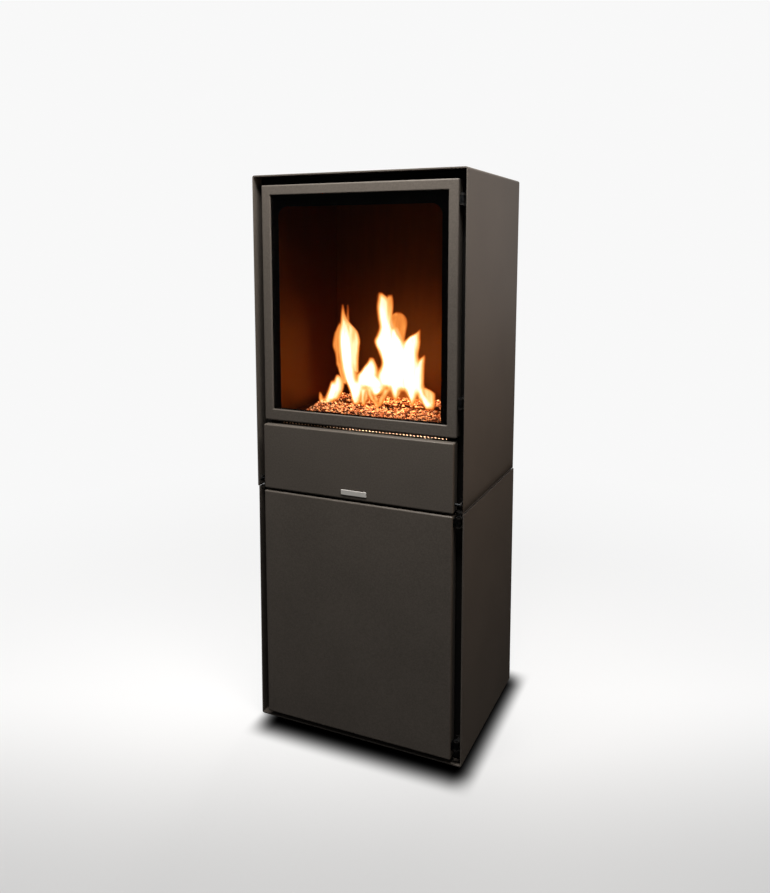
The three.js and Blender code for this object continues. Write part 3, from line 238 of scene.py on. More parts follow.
def ring_faces(rings, around, closed):
    """Quads between neighbouring rings: a grid of indices, rolled by one along each direction."""
    index = np.arange(rings * around).reshape(rings, around)
    rows = index if closed else index[:-1]
    after = np.roll(index, -1, 0) if closed else index[1:]
    corners = (rows, np.roll(rows, -1, 1), np.roll(after, -1, 1), after)
    return np.stack(corners, -1).reshape(-1, 4)


def tube(rings):
    """Vertices and faces of a closed tube: rings (m, n, 3) of points and a fan at each end."""
    count, around, _ = rings.shape
    ends = rings[[0, -1]].mean(1)
    vertices = np.vstack([rings.reshape(-1, 3), ends])
    first = np.arange(around)
    last = first + (count - 1) * around
    start = np.stack([np.roll(first, -1), first, np.full(around, count * around)], -1)
    finish = np.stack([last, np.roll(last, -1), np.full(around, count * around + 1)], -1)
    return vertices, [ring_faces(count, around, False), start, finish]


def gathered(parts):
    """Joins several (vertices, faces) pairs into one, moving each one's indices along."""
    vertices, faces, offset = [], [], 0
    for part_vertices, part_faces in parts:
        vertices.append(part_vertices)
        faces += [group + offset for group in part_faces]
        offset += len(part_vertices)
    return np.vstack(vertices), faces


def rounded_loop(half_width, bottom, top, radius_bottom, radius_top, steps=8):
    """A loop in X and Z: four quarter circles, centre + radius * (cos, sin), one per corner."""
    quarter = np.linspace(0, pi / 2, steps)
    corners = [(1, top, radius_top, 0), (-1, top, radius_top, 1),
               (-1, bottom, radius_bottom, 2), (1, bottom, radius_bottom, 3)]
    points = []
    for side, height, radius, turns in corners:
        angle = quarter + turns * pi / 2
        centre_z = height - radius if height == top else height + radius
        points.append(np.stack([side * (half_width - radius) + radius * np.cos(angle),
                                centre_z + radius * np.sin(angle)], -1))
    return np.vstack(points)


print("mesh helpers ready")

# %% [markdown]
# ## The studio
#
# The object stands on a plain pale floor that runs out into a white background. A large soft box
# hangs over the front right corner, so the paint is lightest at the top and darker towards the
# floor, as in the photograph. The camera's side of a studio is dark, and that is what the flat
# pane mirrors, so the world is bright behind the object and dark in front of it for mirrored
# rays. For rays that light the object it is one dim even tone.

# %% Make the world
SKY_LIGHT = 0.13  # brightness that lights the object
BACKDROP = 0.94  # brightness that the camera sees
MIRRORED = 0.6  # brightness behind the object in mirrored rays
DARK_SIDE = 0.01  # brightness of the studio's unlit side, where the camera stands
DARK_BEFORE, BRIGHT_BEHIND = -0.3, 0.9  # Y of the directions between which one becomes the other

world = bpy.data.worlds.new("studio")
bpy.context.scene.world = world
world.use_nodes = True
tree = world.node_tree
tree.nodes.clear()
direction = add(tree, "ShaderNodeTexCoord").outputs["Generated"]
split = add(tree, "ShaderNodeSeparateXYZ", {"Vector": direction})
mirrored = add(tree, "ShaderNodeMapRange", {
    "Value": split.outputs["Y"], "From Min": DARK_BEFORE, "From Max": BRIGHT_BEHIND,
    "To Min": DARK_SIDE, "To Max": MIRRORED}, interpolation_type="SMOOTHSTEP")
lit = add(tree, "ShaderNodeBackground", {"Strength": SKY_LIGHT})
shine = add(tree, "ShaderNodeBackground", {"Strength": mirrored.outputs["Result"]})
seen = add(tree, "ShaderNodeBackground", {"Strength": BACKDROP})
for background in (lit, shine, seen):
    background.inputs["Color"].default_value = (1, 1, 1, 1)
whole = by_ray(tree, to_camera=seen, to_mirror=shine, to_rest=lit)
add(tree, "ShaderNodeOutputWorld", {"Surface": whole.outputs[0]})
print("world:", SKY_LIGHT, "to the object,", BACKDROP, "to the camera")

# %% [markdown]
# The floor has one look for the camera and another for every other ray. To the camera it is pale
# paper that turns a little grey towards the photographer, nearly black where the casing shuts the
# light out, and it takes up some of the real light and shadow near the object. Farther out it is
# as pale as the background. In mirrored rays it is as dark as the unlit side of the studio.

# %% Make the floor
FLOOR_HALF = 9.0  # metres
NEAR_TONE, NEAR_AT, FAR_AT = 0.6, -0.64, 0.06  # tone of the floor at the front, and metres
CLOSE_BY, WIDE_OUT = 0.95, 2.4  # metres from the object over which the floor turns pale again
LIT_TONE = 1.2  # what the camera sees of the light that falls on the floor
LIT_SHARE, NEAR, FAR = 0.14, 0.5, 2.2  # its share close to the object, and metres to its end
SHADE_MIDDLE = np.array((0.018, -0.010, 0.0))  # metres, the soft dark patch under the casing
SHADE_HALF = np.array((0.247, 0.222, 1.0))  # from its middle to where it is half as dark
SHADE_RIM = np.array((0.032, 0.045, 0.5))  # half the width of its soft rim
SHADE_FALL = 2.3  # turns an even step in what the eye sees into a step in light

floor_paper, tree, shader = new_material(
    "pale studio paper", Roughness=0.9, Specular_IOR_Level=0.0)
shader.inputs["Base Color"].default_value = linear("#6a6a6a")
place = object_place(tree)
depth = add(tree, "ShaderNodeVectorMath", {0: place, 1: (-sin(YAW), cos(YAW), 0)},
            operation="DOT_PRODUCT").outputs["Value"]
tone = add(tree, "ShaderNodeMapRange", {
    "Value": depth, "From Min": NEAR_AT, "From Max": FAR_AT, "To Min": NEAR_TONE,
    "To Max": BACKDROP}, interpolation_type="SMOOTHSTEP")
away = add(tree, "ShaderNodeVectorMath", {0: place}, operation="LENGTH")
open_tone = add(tree, "ShaderNodeMapRange", {
    "Value": away.outputs["Value"], "From Min": CLOSE_BY, "From Max": WIDE_OUT,
    "To Min": tone.outputs[0], "To Max": BACKDROP}, interpolation_type="SMOOTHSTEP")

moved = add(tree, "ShaderNodeVectorMath", {0: place, 1: SHADE_MIDDLE}, operation="SUBTRACT")
folded = add(tree, "ShaderNodeVectorMath", {0: moved.outputs[0]}, operation="ABSOLUTE")
fade = add(tree, "ShaderNodeMapRange", {
    6: folded.outputs[0], 7: SHADE_HALF - SHADE_RIM, 8: SHADE_HALF + SHADE_RIM,
    9: (1, 1, 1), 10: (0, 0, 0)}, data_type="FLOAT_VECTOR", interpolation_type="SMOOTHSTEP")
sides = add(tree, "ShaderNodeSeparateXYZ", {"Vector": fade.outputs["Vector"]})
patch = add(tree, "ShaderNodeMath", {0: sides.outputs["X"], 1: sides.outputs["Y"]},
            operation="MULTIPLY")
lifted = add(tree, "ShaderNodeMath", {0: 1.0, 1: patch.outputs[0]}, operation="SUBTRACT")
contact = add(tree, "ShaderNodeMath", {0: lifted.outputs[0], 1: SHADE_FALL}, operation="POWER")
paper_tone = add(tree, "ShaderNodeMath", {0: open_tone.outputs[0], 1: contact.outputs[0]},
                 operation="MULTIPLY")
lit_tone = add(tree, "ShaderNodeMath", {0: paper_tone.outputs[0], 1: LIT_TONE},
               operation="MULTIPLY")
share = add(tree, "ShaderNodeMapRange", {
    "Value": away.outputs["Value"], "From Min": NEAR, "From Max": FAR, "To Min": LIT_SHARE,
    "To Max": 0.0}, interpolation_type="SMOOTHSTEP")

plain = add(tree, "ShaderNodeEmission", {"Color": (1, 1, 1, 1), "Strength": paper_tone.outputs[0]})
catcher = add(tree, "ShaderNodeBsdfDiffuse", {"Color": lit_tone.outputs[0]})
shown = add(tree, "ShaderNodeMixShader", {0: share.outputs[0], 1: plain.outputs[0],
                                          2: catcher.outputs[0]})
unlit = add(tree, "ShaderNodeEmission", {"Color": (1, 1, 1, 1), "Strength": DARK_SIDE})
paper = by_ray(tree, to_camera=shown, to_mirror=unlit, to_rest=shader)
tree.links.new(paper.outputs[0], tree.nodes["Material Output"].inputs["Surface"])

corner = FLOOR_HALF * np.array([(-1, -1, 0), (1, -1, 0), (1, 1, 0), (-1, 1, 0)], float)
floor = put_mesh("floor", corner, [np.array([[0, 1, 2, 3]])], floor_paper)
print("floor", 2 * FLOOR_HALF, "m wide")


# %% Hang the lamps
def soft_box(name, place, aim, size, watts, tint, spread=180):
    """A rectangular area lamp that looks from `place` at `aim`, its long side level."""
    lamp = bpy.data.lights.new(name, "AREA")
    lamp.shape, lamp.energy = "RECTANGLE", watts
    lamp.size, lamp.size_y = size
    lamp.spread = radians(spread)
    lamp.color = linear(tint)[:3]
    holder = bpy.data.objects.new(name, lamp)
    holder.visible_camera = holder.visible_transmission = False
    bpy.context.scene.collection.objects.link(holder)
    look = (Vector(aim) - Vector(place)).to_track_quat("-Z", "Y").to_matrix().to_4x4()
    holder.matrix_world = Matrix.Translation(place) @ look
    return holder


WARM, NEUTRAL = "#ffdfc2", "#fffbf6"
LAMPS = {
    "top_box": ((0.16, -0.58, 2.1), (0.05, -0.25, 1.0), (1.05, 0.4), 51, NEUTRAL, 180),
    "right_box": ((1.4, -0.1, 1.15), (0.25, -0.1, 1.05), (0.6, 0.3), 3.1, WARM, 115),
    "left_box": ((-1.4, 0.1, 1.3), (-0.25, 0.1, 1.2), (0.6, 0.3), 3, NEUTRAL, 115),
    "back_box": ((-0.25, 2.2, 1.5), (0, 0.2, 0.85), (1.1, 0.7), 9, NEUTRAL, 60),
}  # name: place, aim and size in metres, watts, tint, spread in degrees
boxes = {name: soft_box(name, *settings) for name, settings in LAMPS.items()}
boxes["back_box"].visible_glossy = False  # it would draw a white streak over the top panel
print("lamps:", [item.name for item in bpy.data.lights])

# %% [markdown]
# ## Powder-coated steel
#
# The casing, the door frame, the flap and the storage door are folded sheet steel with a matt
# anthracite powder coat. Powder melts into a skin with a fine, even grain, softly shiny, and it
# flows round the folds, which catch a thin line of light. The grain is about half a millimetre
# on the real thing. It is drawn at three millimetres here, because a pixel is two wide.

# %% Powder coat
GRAIN_SIZE = 3.0  # mm
GRAIN_WEIGHT = 3.0  # how much more the grain counts than the cloud
CLOUD_SIZE = 140.0  # mm, faint unevenness over a panel
SUM_LOW, SUM_HIGH = 1.2, 2.9  # sums of grain and cloud that get the darker and the lighter tone
FOLD_RADIUS = 1.0  # mm, roundness of the coat over an edge
SEAM_HEIGHT, SEAM_REACH = 558.0, 3.0  # mm, the edges at the seam are cut, and stay sharp

powder_coat, tree, shader = new_material(
    "powder-coated steel", Metallic=0.0, Specular_IOR_Level=0.35)
grain = noise(tree, GRAIN_SIZE, 3.0, Roughness=0.6)
cloud = noise(tree, CLOUD_SIZE, 2.0)
tone = add(tree, "ShaderNodeMath", {0: grain, 1: GRAIN_WEIGHT, 2: cloud},
           operation="MULTIPLY_ADD")
shade = add(tree, "ShaderNodeMapRange", {
    "Value": tone.outputs[0], "From Min": SUM_LOW, "From Max": SUM_HIGH})
fold = add(tree, "ShaderNodeBevel", {"Radius": FOLD_RADIUS * MM}, samples=4)
flat = add(tree, "ShaderNodeNewGeometry").outputs["Normal"]
level_of = add(tree, "ShaderNodeSeparateXYZ", {"Vector": object_place(tree)}).outputs["Z"]
off_seam = add(tree, "ShaderNodeMath", {0: level_of, 1: SEAM_HEIGHT * MM}, operation="SUBTRACT")
from_seam = add(tree, "ShaderNodeMath", {0: off_seam.outputs[0]}, operation="ABSOLUTE")
rounded = add(tree, "ShaderNodeMath", {
    0: from_seam.outputs[0], 1: SEAM_REACH * MM}, operation="GREATER_THAN")
skin = add(tree, "ShaderNodeMix", {
    0: rounded.outputs[0], 4: flat, 5: fold.outputs[0]}, data_type="VECTOR")
wire(tree, shader,
     Base_Color=two_tones(tree, shade.outputs["Result"], "#46413c", "#58524c"),
     Roughness=between(tree, grain, 0.42, 0.58),
     Normal=relief(tree, grain, 0.12, 0.4, Normal=skin.outputs[1]))
dress("casing_paint", powder_coat)

# %% [markdown]
# ## Black stove paint and the chamber's steel
#
# The plates behind the doors carry matt black stove paint. The walls round the fire are bare
# steel, and their orange-brown tone is painted firelight. They have no colour of their own in the
# dark, and mirror the flames as a broad, deep orange glow that is strongest towards the glass.

# %% Black stove paint
PAINT_GRAIN = 2.5  # mm

black_paint, tree, shader = new_material("matt black stove paint", Specular_IOR_Level=0.25)
grain = noise(tree, PAINT_GRAIN, 3.0)
wire(tree, shader,
     Base_Color=two_tones(tree, grain, "#0d0c0b", "#1a1817"),
     Roughness=between(tree, grain, 0.6, 0.8),
     Normal=relief(tree, grain, 0.15, 0.3))
dress("black_paint", black_paint)

# %% Chamber steel, its orange-brown tone painted firelight
STREAK_WIDTH = 14.0  # mm, faint upright streaks that hot gas leaves
STREAK_STRETCH = (1, 1, 0.12)  # the pattern changes more slowly upwards
STEEL_GRAIN = 2.5  # mm

chamber_firelight_steel, tree, shader = new_material("chamber steel with painted firelight", Metallic=1.0)
shader.inputs["Specular Tint"].default_value = linear("#f0d4b8")  # painted firelight tint at a glancing angle too
streak = noise(tree, STREAK_WIDTH, 3.0, STREAK_STRETCH)
grain = noise(tree, STEEL_GRAIN, 2.0)
# The two orange-brown tones are painted firelight, varied by the streaks.
wire(tree, shader,
     Base_Color=two_tones(tree, streak, "#643211", "#7c4116"),
     Roughness=between(tree, streak, 0.54, 0.7),
     Normal=relief(tree, grain, 0.1, 0.3))
dress("chamber_steel", chamber_firelight_steel)

# %% [markdown]
# ## Small metals
#
# The burner and its slider are brushed stainless steel: fine scratches along the sheet stretch
# each highlight across them. The pins, the arms, the strike and the retainer are black zinc-plated
# steel, whose crystals leave soft dark patches. The badge is bead-blasted aluminium, partly matt.

# %% Stainless steel, zinc and the badge
SCRATCH_WIDTH = 1.2  # mm across a scratch; the real ones are ten times finer and would not show
SCRATCH_STRETCH = (0.03, 1, 1)  # the scratches run along X
CRYSTAL_SIZE = 6.0  # mm

stainless, tree, shader = new_material("brushed stainless steel", Metallic=1.0)
scratch = noise(tree, SCRATCH_WIDTH, 4.0, SCRATCH_STRETCH)
wire(tree, shader,
     Base_Color=two_tones(tree, scratch, "#a8a59f", "#c9c6c0"),
     Roughness=between(tree, scratch, 0.22, 0.4),
     Normal=relief(tree, scratch, 0.2, 0.05))
dress("stainless", stainless)

zinc, tree, shader = new_material("black zinc plate", Metallic=1.0)
crystal = add(tree, "ShaderNodeTexVoronoi", {
    "Vector": object_place(tree), "Scale": per_mm(CRYSTAL_SIZE)}).outputs["Distance"]
wire(tree, shader,
     Base_Color=two_tones(tree, crystal, "#2b2c2e", "#434547"),
     Roughness=between(tree, crystal, 0.3, 0.5))
dress("zinc_plate", zinc)
for name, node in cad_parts.items():
    if "pin_" in name:
        node.material_slots[0].material = zinc  # dark in the gap beside the doors

satin, tree, shader = new_material("bead-blasted aluminium", Metallic=0.35)
scratch = noise(tree, SCRATCH_WIDTH, 3.0, SCRATCH_STRETCH)
wire(tree, shader,
     Base_Color=two_tones(tree, scratch, "#c9c7c3", "#e6e4e0"),
     Roughness=between(tree, scratch, 0.35, 0.5))
dress("badge_metal", satin)

# %% [markdown]
# ## Rope, wool, rubber, nylon and magnets
#
# The seal and the gasket are knitted glass fibre, so their thread shows as slanting rows. The
# wool that holds the fuel is a loose white felt. Rubber and nylon are moulded, dark and even,
# with a faint eroded grain, and the magnets are pressed ferrite, a dull grey black.

# %% The remaining finishes
THREAD = 2.2  # mm between two rows of the rope's knit
BANDS_PER_SCALE = 20  # a wave texture packs this many bands into one unit of a noise

rope, tree, shader = new_material(
    "knitted glass-fibre rope", Specular_IOR_Level=0.2, Sheen_Weight=0.3)
rows = add(tree, "ShaderNodeTexWave", {
    "Vector": object_place(tree), "Scale": per_mm(THREAD) / BANDS_PER_SCALE, "Distortion": 1.5,
    "Detail": 2.0, "Detail Scale": 3.0}, bands_direction="DIAGONAL").outputs["Fac"]
wire(tree, shader,
     Base_Color=two_tones(tree, rows, "#141312", "#34312f"),
     Roughness=between(tree, rows, 0.85, 0.98),
     Normal=relief(tree, rows, 0.6, 0.6))
dress("rope_fibre", rope)

MOULDED = {
    "wool_fibre": ("ceramic wool felt", "#cfcbc0", "#efece4", 0.95, 2.0, 0.8),
    "bumper_rubber": ("moulded rubber", "#121212", "#1f1e1d", 0.85, 1.0, 0.15),
    "nylon": ("moulded black nylon", "#161616", "#242423", 0.5, 1.2, 0.12),
    "ferrite": ("pressed ferrite", "#232325", "#353537", 0.6, 1.5, 0.2),
}  # slot: name, dark tone, light tone, roughness, grain in mm, bump
SMOOTHER, ROUGHER = 0.06, 0.04  # how far the roughness strays from its value
for slot, (name, dark, light, roughness, size, bump) in MOULDED.items():
    material, tree, shader = new_material(name)
    grain = noise(tree, size, 3.0)
    wire(tree, shader,
         Base_Color=two_tones(tree, grain, dark, light),
         Roughness=between(tree, grain, roughness - SMOOTHER, roughness + ROUGHER),
         Normal=relief(tree, grain, bump, 0.4))
    dress(slot, material)

# %% [markdown]
# ## The pane and its printed border
#
# The pane is four millimetres of ceramic glass, clear with a faint grey tint. Its rim is printed
# black on the inside, which hides the gasket and the retainer: a band along both sides, wider
# along the top with round corners, and next to nothing at the bottom. The print is a flat ring,
# two loops of points on each side of a very thin layer.

# %% Glass and print
ENAMEL_GRAIN = 4.0  # mm
PRINT_SIDE = 16.0  # mm of band that shows beside the frame
PRINT_TOP = 25.0
PRINT_BOTTOM = 2.5
PRINT_CORNER, SMALL_CORNER = 22.0, 2.0  # mm, its radius at the top, and at all other corners
PRINT_THICKNESS, PRINT_GAP = 0.08, 0.02  # mm, the gap keeps it off the glass
RIM = 0.4  # mm of bare glass outside the print
OPENING_HALF, OPENING_BOTTOM, OPENING_TOP = 206.4, 738.6, 1211.7

glass, tree, shader = new_material(
    "ceramic glass", Transmission_Weight=1.0, Roughness=0.0, IOR=1.5)
shader.inputs["Base Color"].default_value = linear("#f1eeea")
dress("pane_glass", glass)

enamel, tree, shader = new_material("black printed enamel", Specular_IOR_Level=0.15)
grain = noise(tree, ENAMEL_GRAIN, 2.0)
wire(tree, shader,
     Base_Color=two_tones(tree, grain, "#020202", "#050506"),
     Roughness=between(tree, grain, 0.25, 0.35))

pane_low, pane_high = (np.array(corner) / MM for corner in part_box("door_glass"))
outer = rounded_loop(pane_high[0] - RIM, pane_low[2] + RIM, pane_high[2] - RIM,
                     SMALL_CORNER, SMALL_CORNER)
inner = rounded_loop(OPENING_HALF - PRINT_SIDE, OPENING_BOTTOM + PRINT_BOTTOM,
                     OPENING_TOP - PRINT_TOP, SMALL_CORNER, PRINT_CORNER)


def flat_ring(outside, inside, front, back):
    """A flat frame between two loops: outside and inside, each at two depths, closed round."""
    corners = (outside, front), (inside, front), (inside, back), (outside, back)
    return np.stack([np.insert(loop, 1, depth, 1) for loop, depth in corners])


print_front = pane_high[1] + PRINT_GAP
ring = flat_ring(outer, inner, print_front, print_front + PRINT_THICKNESS) * MM
faces = ring_faces(4, len(outer), True)
border = put_mesh("glass_print", ring.reshape(-1, 3), [faces], enamel, smooth=False)
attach(border, "glazed_door")
print("printed border", len(faces), "faces")

# %% [markdown]
# ## Foam tape in the seam
#
# The upper casing stands on the lower one with a strip of foam tape along each side wall, which
# keeps light and rattle out of the seam. It lies a little inside the wall, and its black is
# painted shade, so the seam shows as one fine dark line. A strip is a tube with four corners and
# two rings.

# %% Seam tape
TAPE_WIDTH, TAPE_HEIGHT, TAPE_INSET = 1.8, 0.8, 0.8  # mm
TAPE_END = 1.5  # mm short of the sheet's edges
tape_low, tape_high = (np.array(corner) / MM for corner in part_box("lower_casing"))
seam_middle = (tape_high[2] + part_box("upper_casing")[0].z / MM) / 2


def tape(side):
    """A strip on one side wall: the corners of its section at both ends."""
    x = side * (tape_high[0] - TAPE_INSET - TAPE_WIDTH * np.array([0, 0, 1, 1]))[::side]
    z = seam_middle + TAPE_HEIGHT / 2 * np.array([-1, 1, 1, -1])[::side]
    ends = np.array([tape_low[1] + TAPE_END, tape_high[1] - TAPE_END])
    return np.stack([np.stack([x, np.full(4, end), z], -1) for end in ends])


vertices, faces = gathered([tube(tape(side) * MM) for side in (-1, 1)])
# The tape's black stove paint is painted shade in the seam.
tapes = put_mesh("seam_tape", vertices, faces, black_paint, smooth=False)
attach(tapes, "casing")
print("seam at", seam_middle, "mm")

# %% [markdown]
# ## Screws on the back
#
# Each back panel is held by a row of black button-head screws along both sides. A head is turned
# on a lathe: a profile of radius and height carried round an axis, with six-sided rings where
# the key goes in. One array holds the head, and another the places, and their sum is every screw.

# %% Panel screws
HEAD_PROFILE = np.array([(0.0, 0.5), (1.15, 0.5), (1.25, 1.5), (2.2, 1.6), (3.2, 1.3),
                         (3.9, 0.6), (4.0, 0.0)])  # mm: radius, height
KEY_RINGS = 3  # the first rings are the socket of the key
AROUND = 24
SCREW_INSET, SCREW_PITCH = 8.0, 130.0  # mm from the panel's side, and about this far apart


def button_head():
    """Rings (m, n, 3) round Y: radius * (cos, sin) and height; key rings follow a hexagon."""
    angle = np.arange(AROUND) * 2 * pi / AROUND
    sixth = pi / 3
    flats = cos(sixth / 2) / np.cos(angle % sixth - sixth / 2)
    radius, rise = HEAD_PROFILE[:, 0, None], HEAD_PROFILE[:, 1, None]
    reach = radius * np.where(np.arange(len(HEAD_PROFILE))[:, None] < KEY_RINGS, flats, 1)
    return np.stack([reach * np.cos(angle), rise + 0 * angle, reach * np.sin(angle)], -1)


def screw_places(panel):
    """Places (n, 3) along both sides of a panel, evenly spread over its height."""
    low, high = (np.array(corner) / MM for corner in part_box(panel))
    rows = int(round((high[2] - low[2]) / SCREW_PITCH)) + 1
    heights = np.linspace(low[2] + 2 * SCREW_INSET, high[2] - 2 * SCREW_INSET, rows)
    sides = np.array([low[0] + SCREW_INSET, high[0] - SCREW_INSET])
    x, z = np.meshgrid(sides, heights)
    return np.stack([x.ravel(), np.full(x.size, high[1]), z.ravel()], -1)


head = button_head()
seats = np.vstack([screw_places("upper_back_panel"), screw_places("lower_back_panel")])
vertices = (head.reshape(1, -1, 3) + seats[:, None]).reshape(-1, 3)
faces = ring_faces(len(head), AROUND, False)[:, ::-1]
faces = (faces[None] + head[..., 0].size * np.arange(len(seats))[:, None, None]).reshape(-1, 4)
screws = put_mesh("panel_screws", vertices * MM, [faces], zinc)
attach(screws, "casing")
print(len(seats), "screws")

# %% [markdown]
# ## Loose stones on the hearth
#
# The bed is marble chips, four to seven millimetres across, in tones from chalky to orange brown
# that are partly painted firelight. A stone is an icosahedron, twenty faces, with its corners
# pushed in and out at random, stretched, turned and dropped in its place. All stones are one mesh,
# computed as one array of stones by corners.

# %% The shape of a stone
STONE_PUSH = 0.22  # share by which a corner is pushed in or out
STONE_STRETCH = (0.72, 1.25)
GOLDEN = (1 + 5 ** 0.5) / 2
base = np.array([(-1, GOLDEN, 0), (1, GOLDEN, 0), (-1, -GOLDEN, 0), (1, -GOLDEN, 0),
                 (0, -1, GOLDEN), (0, 1, GOLDEN), (0, -1, -GOLDEN), (0, 1, -GOLDEN),
                 (GOLDEN, 0, -1), (GOLDEN, 0, 1), (-GOLDEN, 0, -1), (-GOLDEN, 0, 1)])
base /= np.linalg.norm(base[0])
base_faces = np.array([
    (0, 11, 5), (0, 5, 1), (0, 1, 7), (0, 7, 10), (0, 10, 11), (1, 5, 9), (5, 11, 4),
    (11, 10, 2), (10, 7, 6), (7, 1, 8), (3, 9, 4), (3, 4, 2), (3, 2, 6), (3, 6, 8), (3, 8, 9),
    (4, 9, 5), (2, 4, 11), (6, 2, 10), (8, 6, 7), (9, 8, 1)])


def turned_at_random(count, rng):
    """Random rotation matrices (count, 3, 3): Q of a QR split of normal numbers, made proper."""
    q, r = np.linalg.qr(rng.normal(size=(count, 3, 3)))
    q = q * np.sign(np.diagonal(r, axis1=1, axis2=2))[:, None, :]
    q[:, :, 0] *= np.sign(np.linalg.det(q))[:, None]
    return q


def stones(places, sizes, rng):
    """(n, 12, 3) corners: place + turn @ (size * stretch * (1 + push) * corner of the base)."""
    count = len(places)
    push = 1 + rng.uniform(-STONE_PUSH, STONE_PUSH, (count, 12, 1))
    stretch = rng.uniform(*STONE_STRETCH, (count, 1, 3))
    shapes = base[None] * push * stretch * sizes[:, None, None] / 2
    return places[:, None] + np.einsum("nij,nkj->nki", turned_at_random(count, rng), shapes)


print("one stone has", len(base_faces), "faces")

# %% Spread the stones
STONE_PITCH, STONE_SCATTER = 5.0, 2.4  # mm between stones of one layer, and how far they stray
STONE_SIZE = (3.8, 7.4)  # mm
FIRST_RISE, LAYER_RISE, RISE_SCATTER = 1.8, 2.4, 0.8  # mm over the hearth, and over each other
SECOND_SHARE = 0.75  # of the second layer's stones that are kept
LAYER_MARGINS = (4.0, 6.5)  # mm inside the bed's outline
BED_CORNER = 16.0  # mm
MOUTH_HALF_X, MOUTH_HALF_Y, MOUTH_Y, MOUTH_MARGIN = 168.0, 25.0, 9.5, 0.5  # mm, the burner's mouth
TAB_X, TAB_HALF, TAB_FRONT, TAB_BACK = 178, 10, 14, 74  # mm, room for the slider's tab to slide
HEAP_LEFT, HEAP_SLANT = -195.0, 0.22  # the heap leans away from the left wall towards the front
HEAP_FRONT = 12  # mm, Y where it starts to lean
RIDGE_HEIGHT, RIDGE_WIDTH = 3.5, 13.0  # mm, a few stones are heaped along the mouth
rng = np.random.default_rng(7)
bed_low, bed_high = (np.array(corner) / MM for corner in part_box("pebble_bed"))


def mouth_distance(x, y):
    """Distance to the burner's mouth, a slot with round ends: 0 on its edge, positive outside."""
    along = np.maximum(np.abs(x) - MOUTH_HALF_X + MOUTH_HALF_Y, 0)
    return np.hypot(along, y - MOUTH_Y) - MOUTH_HALF_Y


def inside_bed(x, y, margin):
    """True inside the bed's rounded outline by `margin`, and clear of the mouth and the tab."""
    centre = (bed_low + bed_high) / 2
    half = (bed_high - bed_low) / 2 - margin
    dx = np.maximum(np.abs(x - centre[0]) - half[0] + BED_CORNER, 0)
    dy = np.maximum(np.abs(y - centre[1]) - half[1] + BED_CORNER, 0)
    within = np.hypot(dx, dy) < BED_CORNER
    mouth = mouth_distance(x, y) < MOUTH_MARGIN
    tab = ((np.abs(x - TAB_X) < TAB_HALF + margin) & (y > MOUTH_Y - TAB_FRONT)
           & (y < MOUTH_Y + TAB_BACK))
    heap = x > HEAP_LEFT + margin + HEAP_SLANT * np.maximum(HEAP_FRONT - y, 0)
    return within & heap & ~mouth & ~tab


layers = []
for layer, margin in enumerate(LAYER_MARGINS):
    gx, gy = np.meshgrid(np.arange(bed_low[0], bed_high[0], STONE_PITCH),
                         np.arange(bed_low[1], bed_high[1], STONE_PITCH))
    x = (gx + rng.uniform(-STONE_SCATTER, STONE_SCATTER, gx.shape)).ravel()
    y = (gy + rng.uniform(-STONE_SCATTER, STONE_SCATTER, gx.shape)).ravel()
    keep = inside_bed(x, y, margin)
    if layer == 1:
        keep &= rng.random(len(x)) < SECOND_SHARE
    ridge = RIDGE_HEIGHT * np.exp(-(mouth_distance(x, y) / RIDGE_WIDTH) ** 2) * layer
    z = (bed_low[2] + FIRST_RISE + layer * LAYER_RISE + ridge
         + rng.uniform(-RISE_SCATTER, RISE_SCATTER, len(x)))
    layers.append(np.stack([x, y, z], -1)[keep])
places = np.vstack(layers)
sizes = rng.uniform(*STONE_SIZE, len(places))
corners = stones(places, sizes, rng)
corners[..., 2] = np.maximum(corners[..., 2], bed_low[2])
indices = base_faces[None] + len(base) * np.arange(len(places))[:, None, None]
print(len(places), "stones", len(places) * len(base_faces), "faces")

# %% Marble chips, with painted firelight in their tones
VEIN_SIZE, VEIN_WEIGHT = 3.0, 0.35  # mm, and their share beside each stone's own tone
TONE_SPREAD = 0.8  # the stones' own tones go from 0 to this
# The orange-brown of these tones is partly painted firelight.
STONE_AND_FIRELIGHT_TONES = [(0.26, "#1e0b06"), (0.45, "#6d3f2c"), (0.68, "#a07053"), (0.95, "#f0dfc8")]

marble, tree, shader = new_material("marble chips", Specular_IOR_Level=0.5, Roughness=0.55)
own_tone = add(tree, "ShaderNodeAttribute", attribute_name="tone").outputs["Fac"]
vein = noise(tree, VEIN_SIZE, 4.0)
blend = add(tree, "ShaderNodeMath", {0: vein, 1: VEIN_WEIGHT, 2: own_tone},
            operation="MULTIPLY_ADD")
wire(tree, shader,
     Base_Color=tone_ramp(tree, blend.outputs[0], STONE_AND_FIRELIGHT_TONES),
     Normal=relief(tree, vein, 0.3, 0.4))

bed = put_mesh("loose_stones", corners.reshape(-1, 3) * MM, [indices.reshape(-1, 3)], marble,
               smooth=False)
tones = bed.data.attributes.new("tone", "FLOAT", "POINT")
own_tones = np.repeat(rng.random(len(places)) * TONE_SPREAD, len(base))
tones.data.foreach_set("value", own_tones.astype(np.float32))
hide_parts("pebble_bed")
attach(bed, "casing")
print("stones dressed")

# %% [markdown]
# ## Flames
#
# A flame has no hard edge: it is thin and orange at its rim, and thick and white in its middle.
# Each tongue is given by its left and right edges at a few heights, and is hot, warm, cool or
# faint. The distance inside an edge is a field over X and Z, and a smooth maximum melts the fields
# of all tongues of one level, so neighbours run together. The fields set two things: how thick the
# fire is there, from its front sheet to its back sheet, and how hot, which drives colour,
# brightness and cover. Ethanol burns along the slot, so the tongues stand in a row over it.

# %% The tongues of flame
HOT_FIRE, WARM_FIRE, COOL_FIRE, FAINT_FIRE = (1.0, 16.0), (0.62, 9.0), (0.34, 7.0), (0.19, 9.0)
